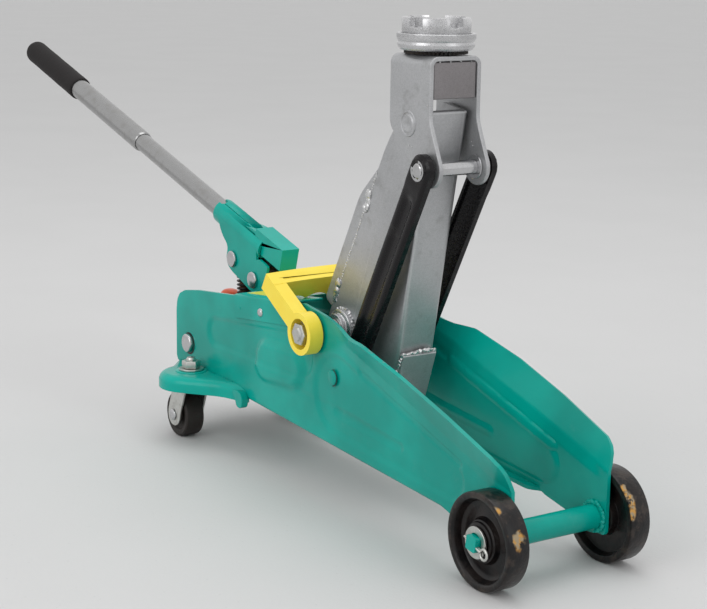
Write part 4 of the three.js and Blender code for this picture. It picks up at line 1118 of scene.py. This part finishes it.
# Rings in place of a helix: a threaded end between two places along Y.
def threaded(radius, y0, y1, pitch):
    profile = [(0, y0)]
    y = y0
    while y < y1 - pitch:
        profile += [(radius - 0.6, y), (radius, y + pitch / 2)]
        y += pitch
    profile += [(radius - 0.8, y1), (0, y1)]
    return turned(profile, 40)


def makeShaft():
    radius, thread = shaftEnd["radius"], shaftEnd["thread"]
    shoulder = eyeY + shaftEnd["eyeFloor"] + gap
    tip = shoulder + 9
    parts = [turned([(0, -shoulder), (radius, -shoulder), (radius, shoulder), (0, shoulder)], 64)]
    for _, side in sides:
        end = threaded(thread, shoulder - 0.5, tip, shaftEnd["pitch"])
        parts.append(end if side > 0 else mirrored(end))
    makePiece("ArmShaft", joined(*parts), shaftBase, "frame", "zinc", ["arm_shaft"])
    for word, side in sides:
        washer = ring(radius + gap, shaftEnd["washer"], washerY, washerY + shaftEnd["washerThick"], steps=64)
        skirt = turned([(5.5, nutY), (10, nutY), (10, nutY + 0.8), (8.8, nutY + 1.8), (5.5, nutY + 1.8), (5.5, nutY)], 64)
        nut = joined(skirt, hexagon(shaftEnd["nut"], nutY + 1.5, nutY + 7.5, 0.9))
        for name, node, bm in (("ShaftWasher", "shaft_washer", washer), ("ShaftNut", "shaft_nut", nut)):
            makePiece(f"{name}_{word}", bm if side > 0 else mirrored(bm), shaftBase, "frame",
                      "zinc", [f"{node}_{word}"], 0.15)
    # the pressed ends of the lower link pins, each with a crack of shadow half way round it
    inner = link["inner"]
    for word, side in sides:
        head = turned([(0, inner - 1), (4.6, inner - 1), (5, inner - 0.6), (5, 30.4), (8, 30.4), (8, 37.9), (5, 37.9),
                       (5, plateOuter - 0.6), (5.6, plateOuter - 0.2), (5.3, plateOuter + 0.5), (4.6, plateOuter + 0.8),
                       (0, plateOuter + 0.8)], 48)
        shade = turned([(5.8, plateOuter - 0.5), (6.5, plateOuter + 0.12), (5.9, plateOuter + 0.14),
                        (5.8, plateOuter - 0.5)], 48)
        doomed = [v for v in shade.verts if v.co.x < 0.5]
        bmesh.ops.delete(shade, geom=doomed, context="VERTS")
        bmesh.ops.holes_fill(shade, edges=shade.edges)
        base = baseAt(jointAt("right_link_swing"))
        makePiece(f"LinkPin_{word}", head if side > 0 else mirrored(head), base, "frame", "green",
                  [f"link_pin_{word}"], 0.2)
        settle(shade)
        makePiece(f"LinkPinShadow_{word}", shade if side > 0 else mirrored(shade), base, "frame", "dark")


rearPin = {"x": -411.4, "z": 72.2, "radius": 6, "head": 7.6}


def makeRearPin():
    y, head = plateOuter + 0.3, rearPin["head"]
    half = [(rearPin["radius"], y), (head - 0.3, y), (head, y + 0.3), (head, y + 2.1), (head - 0.35, y + 2.7),
            (head - 1.3, y + 3.1), (3, y + 3.3), (0, y + 3.3)]
    profile = [(r, -a) for r, a in half[::-1]] + half
    bm = moved(turned(profile, 64), (rearPin["x"], 0, rearPin["z"]))
    makePiece("RearCrossPin", bm, frameBase, "frame", "chrome", ["rear_cross_pin"])
    for word, side in sides:
        # a dark ring of painted shadow round the rear pin's head, where its hole leaves a gap
        around = turned([(head + 0.1, plateOuter - 0.2), (head + 1.5, plateOuter - 0.2), (head + 1.5, plateOuter + 0.2),
                         (head + 0.1, plateOuter + 0.2), (head + 0.1, plateOuter - 0.2)], 64)
        moved(around, (rearPin["x"] + 0.5, 0, rearPin["z"] - 0.3))
        makePiece(f"PinHoleShade_{word}", around if side > 0 else mirrored(around), frameBase, "frame",
                  "dark")


cover = {
    "rear": -335,
    "front": -250,
    "sheet": 1.2,
    "flap": 17,
    "bend": 2.2,
    "rivetX": -294,
    "rivetDrop": 10,
}
topSlope = (shaftZ + 17.2 - 119) / (shaftX - 14 + 395)


def plateTopAt(x):
    return 119 + (x + 395) * topSlope


def makeCover():
    outer = plateOuter + gap + cover["sheet"]
    top = gap + cover["sheet"]
    long = cover["front"] - cover["rear"]
    half = [(0, top), (outer - cover["bend"], top), (outer - 0.6, top - 0.6), (outer, top - cover["bend"]),
            (outer, -cover["flap"])]
    path = [(-y, z) for y, z in half[:0:-1]] + half
    bm = bmesh.new()
    verts = [bm.verts.new((0, y, z)) for y, z in path]
    edges = [bm.edges.new(pair) for pair in zip(verts, verts[1:])]
    grown = bmesh.ops.extrude_edge_only(bm, edges=edges)["geom"]
    bmesh.ops.translate(bm, vec=(long, 0, 0), verts=[v for v in grown if isinstance(v, bmesh.types.BMVert)])
    # the opening in front of the label, and the flap's slanted front end
    for point, normal in (((long - 22, 0, 0), (1, 0, 0)), ((0, -14, 0), (0, 1, 0)), ((0, 14, 0), (0, 1, 0)),
                          ((long - 8, 0, 0), (1, 0, 0))):
        bmesh.ops.bisect_plane(bm, geom=bm.verts[:] + bm.edges[:] + bm.faces[:], plane_co=point, plane_no=normal)
    gone = [f for f in bm.faces if f.calc_center_median().x > long - 22 and abs(f.calc_center_median().y) < 14]
    bmesh.ops.delete(bm, geom=gone, context="FACES")
    bmesh.ops.recalc_face_normals(bm, faces=bm.faces)
    turnedBy(bm, "Y", -math.degrees(math.atan(topSlope)))
    moved(bm, (cover["rear"], 0, plateTopAt(cover["rear"])))
    made = makePiece("TopCover", bm, frameBase, "frame", "green", ["top_cover"])
    sheet = made.modifiers.new("sheet", "SOLIDIFY")
    sheet.thickness = cover["sheet"] / 1000
    sheet.offset = -1
    edges = made.modifiers.new("edges", "BEVEL")
    edges.width = 0.0003
    edges.angle_limit = math.radians(50)
    edges.harden_normals = True

    # blank label patches, stuck to the cover's top
    labels = (("LabelYellow", "label", 5, 38, -33, 31), ("LabelGrey", "labelGrey", 38.4, 58, -33, 31))
    for name, finish, x0, x1, y0, y1 in labels:
        patch = brick((x0, y0, top), (x1, y1, top + 0.12))
        turnedBy(patch, "Y", -math.degrees(math.atan(topSlope)))
        moved(patch, (cover["rear"], 0, plateTopAt(cover["rear"])))
        makePiece(name, patch, frameBase, "frame", finish)

    for word, side in sides:
        seat = plateOuter + gap + cover["sheet"]
        rivet = turned([(0, seat - 4), (1.9, seat - 4), (1.9, seat), (3.3, seat), (3.25, seat + 0.5), (2.5, seat + 1.3),
                        (1.3, seat + 1.65), (0, seat + 1.75)], 32)
        moved(rivet, (cover["rivetX"], 0, plateTopAt(cover["rivetX"]) - cover["rivetDrop"]))
        makePiece(f"CoverRivet_{word}", rivet if side > 0 else mirrored(rivet), frameBase, "frame", "bright",
                  [f"cover_rivet_{word}"])
        dots = [ball(0.9, (x, seat, plateTopAt(x) - drop), (1, 0.5, 1), 2)
                for x, drop in ((-325, 9), (-256, 9), (-259, 13.5))]
        dots = joined(*dots)
        makePiece(f"CoverSpots_{word}", dots if side > 0 else mirrored(dots), frameBase, "frame", "green")
    print("shaft, pins and cover made")


# ---- Hydraulics ----

pump = {
    "rear": -428,
    "front": -345,
    "half": 30,
    "top": 104,
    "bottom": 58,
    "plungerX": -390,
    "plugX": -415.4,
    "cylinder": 27,
    "cylinderFront": -272,
    "ramZ": 82,
    "ram": 10,
}


def makeHydraulics():
    body = brick((pump["rear"], -pump["half"], pump["bottom"]), (pump["front"], pump["half"], pump["top"]))
    pivot = jointAt("handle_pump")
    x, z = pivot.x - wheelCentre.x, pivot.z
    lug = slab([(x - 9, pump["top"] - 4), (x - 9, z + 9, 8.8), (x + 9, z + 9, 8.8), (pump["front"], pump["top"] - 4)],
               -7.5, 7.5, 10)
    gland = alongZ(turned([(5.2, 0), (10.5, 0), (10.5, 3), (9, 3.6), (9, 7), (8.2, 7.8), (5.2, 7.8), (5.2, 0)], 48))
    hexed = alongZ(hexagon(17, 0.2, 4.6, 0.7))
    moved(gland, (pump["plungerX"], 0, pump["top"] - 1))
    moved(hexed, (pump["plungerX"], 0, pump["top"]))
    makePiece("PumpBlock", joined(body, lug, gland, hexed), frameBase, "frame", "iron", ["pump_block"], 1.0, 3)
    rear, front, radius = pump["front"] + 0.3, pump["cylinderFront"], pump["cylinder"]
    tube = alongX(turned([(0, rear), (radius - 1, rear), (radius, rear + 1), (radius, front - 1.5),
                          (radius - 1.5, front), (12, front), (12, rear + 3), (0, rear + 3)], 64))
    makePiece("OilCylinder", moved(tube, (0, 0, pump["ramZ"])), frameBase, "frame", "green", ["oil_cylinder"])
    seal = front + 0.3
    gland = alongX(turned([(10.3, seal), (20, seal), (20, seal + 4.6), (19.2, seal + 5.4), (17, seal + 7),
                           (12.6, seal + 7), (12.2, seal + 6.2), (10.3, seal + 6.2), (10.3, seal)], 64))
    makePiece("CylinderGland", moved(gland, (0, 0, pump["ramZ"])), frameBase, "frame", "zinc", ["cylinder_gland"])
    plug = alongZ(turned([(0, -7), (5, -7), (5, 0.3), (8.2, 0.3), (8.5, 0.8), (8.5, 3.4), (8, 4.4), (7, 6.2), (5.6, 7.4),
                          (3.5, 8.1), (0, 8.4)], 48))
    makePiece("OilFillerPlug", moved(plug, (pump["plugX"], 0, pump["top"])), frameBase, "frame", "red",
              ["oil_filler_plug"])
    at = jointAt("release_turn")
    knob = turned([(0, -8), (4, -8), (4, 0.3), (6.6, 0.3), (7, 0.7), (7, 8.4), (6.2, 9.6), (4, 10), (0, 10)], 48)
    turnedBy(knob, "Z", 90)
    ears = brick((-10, -1.4, -9.5), (-5, 1.4, 9.5))
    makePiece("ReleaseValve", joined(knob, ears), baseAt(at), "valve", "zinc", ["release_valve"], 0.4)

    lo, hi = (1000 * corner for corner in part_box("ram"))
    x0, x1 = lo.x - wheelCentre.x, hi.x - wheelCentre.x
    bar = alongX(rod(pump["ram"], x0, x1 - 1, edge=0.8, steps=64))
    cross = brick((x1 - 7, lo.y, -14), (x1, hi.y, 14))
    makePiece("RamRod", moved(joined(bar, cross), (0, 0, pump["ramZ"])), frameBase, "ram_rod", "chrome",
              ["ram"], 0.4)

    lo, hi = (1000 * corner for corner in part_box("pump_plunger"))
    x0, x1 = lo.x - wheelCentre.x, hi.x - wheelCentre.x
    pad = brick((x0, -6.5, hi.z - 4.5), (x1, 6.5, hi.z))
    stem = moved(alongZ(rod(5, lo.z, hi.z - 1, edge=0.6)), (pump["plungerX"], 0, 0))
    makePiece("PumpPlunger", joined(pad, stem), frameBase, "plunger", "rod", ["pump_plunger"], 0.8, 3)
    lo, hi = (1000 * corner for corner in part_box("plunger_spring"))
    makePiece("PlungerSpring", coil(6.3, 0.85, 5.5, lo.z, hi.z), frameBase, "plunger", "dark", ["plunger_spring"])
    print("hydraulics made")


def coil(radius, wire, turns, z0, z1):
    bm = bmesh.new()
    verts = [bm.verts.new((radius + wire * math.cos(a), 0, z0 + wire + wire * math.sin(a)))
             for a in (2 * math.pi * k / 10 for k in range(10))]
    face = bm.faces.new(verts)
    step = (z1 - z0 - 2 * wire) / (turns * 24)
    bmesh.ops.spin(bm, geom=[face], axis=(0, 0, 1), angle=2 * math.pi * turns, steps=int(turns * 24), dvec=(0, 0, step))
    settle(bm)
    return moved(bm, (pump["plungerX"], 0, 0))


# ---- Casters ----

caster = {
    "radius": 18.3,
    "width": 16,
    "trail": 10.5,
    "top": 56,
    "skirt": 12,
    "wing": 26,
    "reach": 70,
    "sheet": 2.6,
    "forkGap": 1.1,
    "forkSheet": 1.8,
}


def wingShape():
    x0, y0 = jointAt("left_caster_swivel").x - wheelCentre.x, jointAt("left_caster_swivel").y
    inner, radius, top, low = plateOuter + gap, caster["wing"], caster["top"], caster["top"] - caster["skirt"]
    around = [(x0 + radius * math.cos(a), y0 + radius * math.sin(a)) for a in
              (math.radians(d) for d in range(48, 172, 8))]
    corners = [(x0 + caster["reach"], inner), (x0 + 44, inner + 8.5, 7), *around, (plate["rear"] + 2, inner)]
    body = turnedBy(slab(corners, -top, -low, 8), "X", 90)
    # drawn in X and Z, laid down so that Z becomes Y
    bmesh.ops.scale(body, vec=(1, -1, -1), verts=body.verts)
    bmesh.ops.recalc_face_normals(body, faces=body.faces)
    lows = min(v.co.z for v in body.verts)
    lift = low - lows
    moved(body, (0, 0, lift))
    if max(v.co.y for v in body.verts) < 0:
        mirrored(body)
    rim = [e for e in body.edges if all(abs(v.co.z - top) < 0.1 for v in e.verts)
           and any(v.co.y > inner + 0.1 for v in e.verts)]
    bmesh.ops.bevel(body, geom=rim, offset=6.5, affect="EDGES", segments=7, profile=0.5, material=-1)
    under = [f for f in body.faces if f.normal.z < -0.9 or (f.normal.y < -0.9)]
    bmesh.ops.delete(body, geom=under, context="FACES")
    return body


def makeCasters():
    x0 = jointAt("left_caster_swivel").x - wheelCentre.x
    y0 = jointAt("left_caster_swivel").y
    inner, top = plateOuter + gap, caster["top"]
    for word, side in sides:
        bm = wingShape()
        made = makePiece(f"CasterWing_{word}", bm if side > 0 else mirrored(bm), frameBase, "frame",
                         "green", [f"caster_wing_{word}"])
        sheet = made.modifiers.new("sheet", "SOLIDIFY")
        sheet.thickness = caster["sheet"] / 1000
        sheet.offset = -1
        edges = made.modifiers.new("edges", "BEVEL")
        edges.width, edges.segments = 0.0008, 3
        edges.angle_limit = math.radians(50)
        edges.harden_normals = True
        front = x0 + caster["reach"] + 1.5
        tab = slab([(front - 16, top - 4, 3), (front - 5, top - 2.5, 3), (front, top - 6, 3), (front, top - 16, 4),
                    (front - 8, top - 16, 3.6), (front - 10, top - 11, 3)], inner, inner + 6)
        raised = moved(alongZ(turned([(0, 0), (13, 0), (12.6, 0.5), (11.6, 0.9), (0, 0.9)], 48)), (x0, y0, top - 0.1))
        extra = joined(tab, raised)
        makePiece(f"CasterWingTab_{word}", extra if side > 0 else mirrored(extra), frameBase, "frame",
                  "green", (), 0.9, 3)
        seat = top + gap + 0.7
        parts = [alongZ(ring(4, 10, seat, seat + 1.4, steps=64)), alongZ(hexagon(13, seat + 1.4, seat + 7.6, 0.9)),
                 alongZ(threaded(4, seat - 16, seat + 10, 1.2))]
        bolt = moved(joined(*parts), (x0, side * y0, 0))
        makePiece(f"CasterBolt_{word}", bolt, frameBase, "frame", "zinc", [f"caster_bolt_{word}"], 0.15)

        base = baseAt(Vector((jointAt(f"{word}_caster_swivel").x, side * y0, 0)))
        makePiece(f"CasterFork_{word}", forkShape(), base, f"{word}_caster", "zinc",
                  [f"caster_fork_{word}"], 0.5, 3)
        hub = jointAt(f"{word}_caster_wheel_spin")
        end = caster["width"] / 2 + caster["forkGap"] + caster["forkSheet"] + gap
        half = [(3, end), (4.7, end), (4.6, end + 0.6), (3.8, end + 1.3), (2, end + 1.6), (0, end + 1.6)]
        pin = turned([(r, -a) for r, a in half[::-1]] + half, 40)
        makePiece(f"CasterAxle_{word}", pin, baseAt(hub), f"{word}_caster", "chrome", [f"caster_axle_{word}"])
        w, r = caster["width"] / 2, caster["radius"]
        tyre = turned([(3.3, -w), (6, -w), (6.6, 2 - w), (r - 6.4, 2.2 - w), (r - 5, 0.4 - w), (r - 1.8, -w),
                       (r - 0.5, 0.7 - w), (r, 2.4 - w), (r, w - 2.4), (r - 0.5, w - 0.7), (r - 1.8, w), (r - 5, w - 0.4),
                       (r - 6.4, w - 2.2), (6.6, w - 2), (6, w), (3.3, w), (3.3, -w)], 72)
        makePiece(f"CasterWheel_{word}", tyre, baseAt(hub), f"{word}_caster_wheel", "caster",
                  [f"caster_wheel_{word}"], 0.2)
    print("casters made")


def forkShape():
    inner = caster["width"] / 2 + caster["forkGap"]
    outer = inner + caster["forkSheet"]
    top = 2 * caster["radius"] + 5
    trail, hub = caster["trail"], caster["radius"]
    outline = [(9, top), (-12, top), (-trail - 9, hub + 3, 3), (-trail - 9, hub - 9, 8.5), (-trail + 9, hub - 9, 8.5),
               (-trail + 11, hub + 3, 4)]
    cheeks = slab(outline, -outer, outer, 8)
    shell = carved(cheeks, brick((-60, -inner, -5), (60, inner, top - caster["forkSheet"])))
    race = alongZ(turned([(5.3, top - 1), (12.5, top - 1), (13.4, top + 1.6), (12.5, top + 4.2), (9, top + 4.6),
                          (9, caster["top"] - caster["sheet"] - gap), (5.3, caster["top"] - caster["sheet"] - gap),
                          (5.3, top - 1)], 64))
    return joined(shell, race)


# ---- Handle and its socket ----

handle = {
    "offset": 25.5,
    "lower": 7.8,
    "upper": 9.2,
    "wall": 2.2,
    "socket": 76,
    "tubeEnd": 48,
    "step": 228,
    "overlap": 40,
    "gripStart": 363,
    "gripEnd": 474,
    "grip": 10.8,
    "reach": 34.9,
    "rise": 2.2,
}


def makeSocket():
    bore = handle["lower"] + 0.6
    outer = bore + handle["wall"]
    up, long = handle["offset"], handle["socket"]
    sleeve = moved(alongX(turned([(0, -long), (outer - 0.5, -long), (outer, 0.5 - long), (outer, 0), (0, 0)], 64)),
                   (0, 0, up))
    reach, rise = handle["reach"], handle["rise"]
    cheeks = slab([(8 - long, up), (-58, 14.7, 5), (-reach - 10.4, 9, 4), (-reach - 10.4, rise - 7, 6),
                   (-reach, rise - 10.5, 4), (-14, -9.8, 4), (-2, -11, 4), (9, -9, 5), (16.8, -1.5, 2), (17, 19, 1.6),
                   (4, 19.6, 1.6), (-1, 17, 1.4), (-2.6, 24, 1), (-14, up)], -outer, outer, 5)
    gapInside = brick((-reach - 16, -bore, -30), (40, bore, up))
    hole = moved(alongX(rod(bore, -long - 2, 10, edge=0, steps=64)), (0, 0, up))
    # a notch in the sleeve's mouth, and the seam where the folded sheet meets along its top
    notch = turnedBy(slab([(-long - 2, -2.8), (-long + 6, -2.8, 2.6), (-long + 6, 2.8, 2.6), (-long - 2, 2.8)], -20, 20),
                     "X", 90)
    moved(notch, (0, -3, up + 24))
    seam = brick((-long + 4, -4.5, up + outer - 1.9), (-30, -3.8, up + outer + 2))
    window = brick((-12, -7.6, up - 4), (30, 7.6, up + outer + 3))
    whole = carved(cheeks, sleeve, keep="UNION")
    whole = carved(whole, hole, gapInside, notch, seam, window)
    # the folded tab that closes the elbow: flat on top of the sleeve, then bent down in front
    top = up + outer + 0.5
    tongue = slab([(-33, top - 3.6, 0.4), (-20, top - 1, 3), (0.4, top - 0.4, 5), (0.4, 18.6, 0.8), (-1.8, 18.6, 0.6),
                   (-1.8, top - 2.6, 3), (-20, top - 3.4), (-33, top - 6)], -6.8, 7.6, 6)
    makePiece("HandleSocket", joined(whole, tongue), socketBase, "socket", "green", ["handle_socket"],
              0.6, 3, 36)
    side = outer + gap
    for name, node, at, middle in (("SocketPivotPin", "socket_pivot_pin", (0, 0), 5),
                                   ("SocketPlungerPin", "socket_plunger_pin", (-reach, rise), 6)):
        half = [(middle, bore - 0.8), (5, bore - 0.8), (5, side), (6.3, side), (6.6, side + 0.3), (6.6, side + 1.5),
                (6.2, side + 2.1), (5.2, side + 2.4), (0, side + 2.5)]
        pin = moved(turned([(r, -a) for r, a in half[::-1]] + half, 56), (at[0], 0, at[1]))
        makePiece(name, pin, socketBase, "socket", "chrome", [node], 0.15)
    screw = alongZ(turned([(0, -5.5), (4, -5.2), (4.5, -4.4), (4.5, -gap), (2.5, -gap), (2.5, 2.4), (0, 2.4)], 40))
    lo, hi = (1000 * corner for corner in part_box("socket_screw"))
    turnedBy(screw, "Y", handleTilt)
    middle = (lo + hi) / 2
    low = Vector([min(v.co[k] for v in screw.verts) for k in range(3)])
    high = Vector([max(v.co[k] for v in screw.verts) for k in range(3)])
    moved(screw, middle - (low + high) / 2)
    makePiece("SocketScrew", screw, baseAt((0, 0, 0)), "socket", "green", ["socket_screw"], 0.3)
    print("socket made")


def makeHandle():
    lower, upper, up = handle["lower"], handle["upper"], handle["offset"]
    far = -handle["step"] - handle["overlap"]
    tube = turned([(lower - 1.4, far), (lower, far), (lower, -handle["tubeEnd"]), (lower - 1.4, -handle["tubeEnd"]),
                   (lower - 1.4, far)], 72)
    makePiece("HandleLowerTube", moved(alongX(tube), (0, 0, up)), socketBase, "handle", "tube",
              ["handle_lower_tube"])
    end, step = 4 - handle["gripEnd"], -handle["step"]
    tube = turned([(lower + 0.3, end), (upper, end), (upper, step - 3), (upper - 0.25, step - 1.2), (upper - 1, step),
                   (lower + 0.3, step), (lower + 0.3, end)], 72)
    makePiece("HandleUpperTube", moved(alongX(tube), (0, 0, up)), socketBase, "handle", "tube",
              ["handle_upper_tube"])
    start, end, radius = -handle["gripStart"], -handle["gripEnd"], handle["grip"]
    profile = [(0, end), (4, end + 0.1), (7, end + 1), (9.3, end + 2.8), (10.4, end + 5), (radius, end + 8)]
    # foam that is a little fuller in the middle, with a soft lip at its mouth
    for k in range(1, 12):
        part = k / 12
        at = end + 8 + (start - 3 - end - 8) * part
        profile.append((radius - 0.14 * abs(math.sin(math.pi * part * 3)), at))
    profile += [(radius, start - 3), (radius - 0.25, start - 1), (radius - 1, start), (upper + 0.3, start),
                (upper + 0.3, end + 4), (0, end + 4)]
    grip = turned(profile, 96)
    makePiece("HandleGrip", moved(alongX(grip), (0, 0, up)), socketBase, "handle", "grip", ["handle_grip"])
    print("handle made")


# ---- Carry handle ----

carry = {
    "eye": 15.5,
    "eyeBore": 11.3,
    "width": 11,
    "reach": 58,
    "bow": 2,
    "bar": 13,
    "deep": 20,
}


def makeCarryHandle():
    y0 = eyeY
    y1 = y0 + carry["width"]
    near, bar, deep = carry["reach"] - carry["bar"], carry["bar"], carry["deep"]
    parts = []
    for _, side in sides:
        beam = slab([(2, -9.2, 1), (near + bar, -9.2, 2), (near + bar, 4.4, 2), (2, 5.6, 1)], y0, y1)
        eye = rod(carry["eye"], y0, y1, edge=0, steps=64)
        arm = carved(beam, eye, keep="UNION")
        cup = rod(carry["eyeBore"], y0 + 4, y1 + 2, edge=0, steps=56)
        arm = carved(arm, cup, rod(8.3, y0 - 2, y1 + 2, edge=0))
        parts.append(arm if side > 0 else mirrored(arm))
    low, high = -9.4, deep - 11.6
    steps = 18
    bm = bmesh.new()
    section = [(near, high), (near, low), (near + bar, low), (near + bar, high)]
    verts = [bm.verts.new((x, -y1, z)) for x, z in section]
    bm.faces.new(verts)
    last = bm.faces[:]
    for k in range(steps):
        grown = bmesh.ops.extrude_face_region(bm, geom=last)["geom"]
        bmesh.ops.translate(bm, vec=(0, 2 * y1 / steps, 0), verts=[v for v in grown if isinstance(v, bmesh.types.BMVert)])
        if k:
            bmesh.ops.delete(bm, geom=last, context="FACES_ONLY")
        last = [f for f in grown if isinstance(f, bmesh.types.BMFace)]
    settle(bm)
    # a groove along the bar's outer side, and finger hollows along its inner side
    groove = brick((near + 3.8, -y1 + 8, low - 5), (near + 6.4, y1 - 8, low + 0.9))
    shoulders = [brick((near - 20, turn * y1 - 13, 4.4), (near + 40, turn * y1 + 13, high + 5)) for turn in (-1, 1)]
    fingers = []
    for k in range(4):
        scoop = alongX(rod(15, near - 30, near + 40, edge=0, steps=48))
        fingers.append(moved(scoop, (0, (k - 1.5) * 20, high + 12)))
    barShape = carved(bm, groove, *shoulders, *fingers)
    for vert in barShape.verts:
        vert.co.x += carry["bow"] * (1 - (vert.co.y / y1) ** 2)
    parts.append(barShape)
    whole = parts[0]
    for part in parts[1:]:
        whole = carved(whole, part, keep="UNION")
    makePiece("CarryHandle", whole, carryBase, "carry", "yellow", ["carry_handle"], 0.9, 3, 34)
    print("carry handle made")


makeShaft()
makeRearPin()
makeCover()
makeHydraulics()
makeCasters()
makeSocket()
makeHandle()
makeCarryHandle()


print("pieces made")
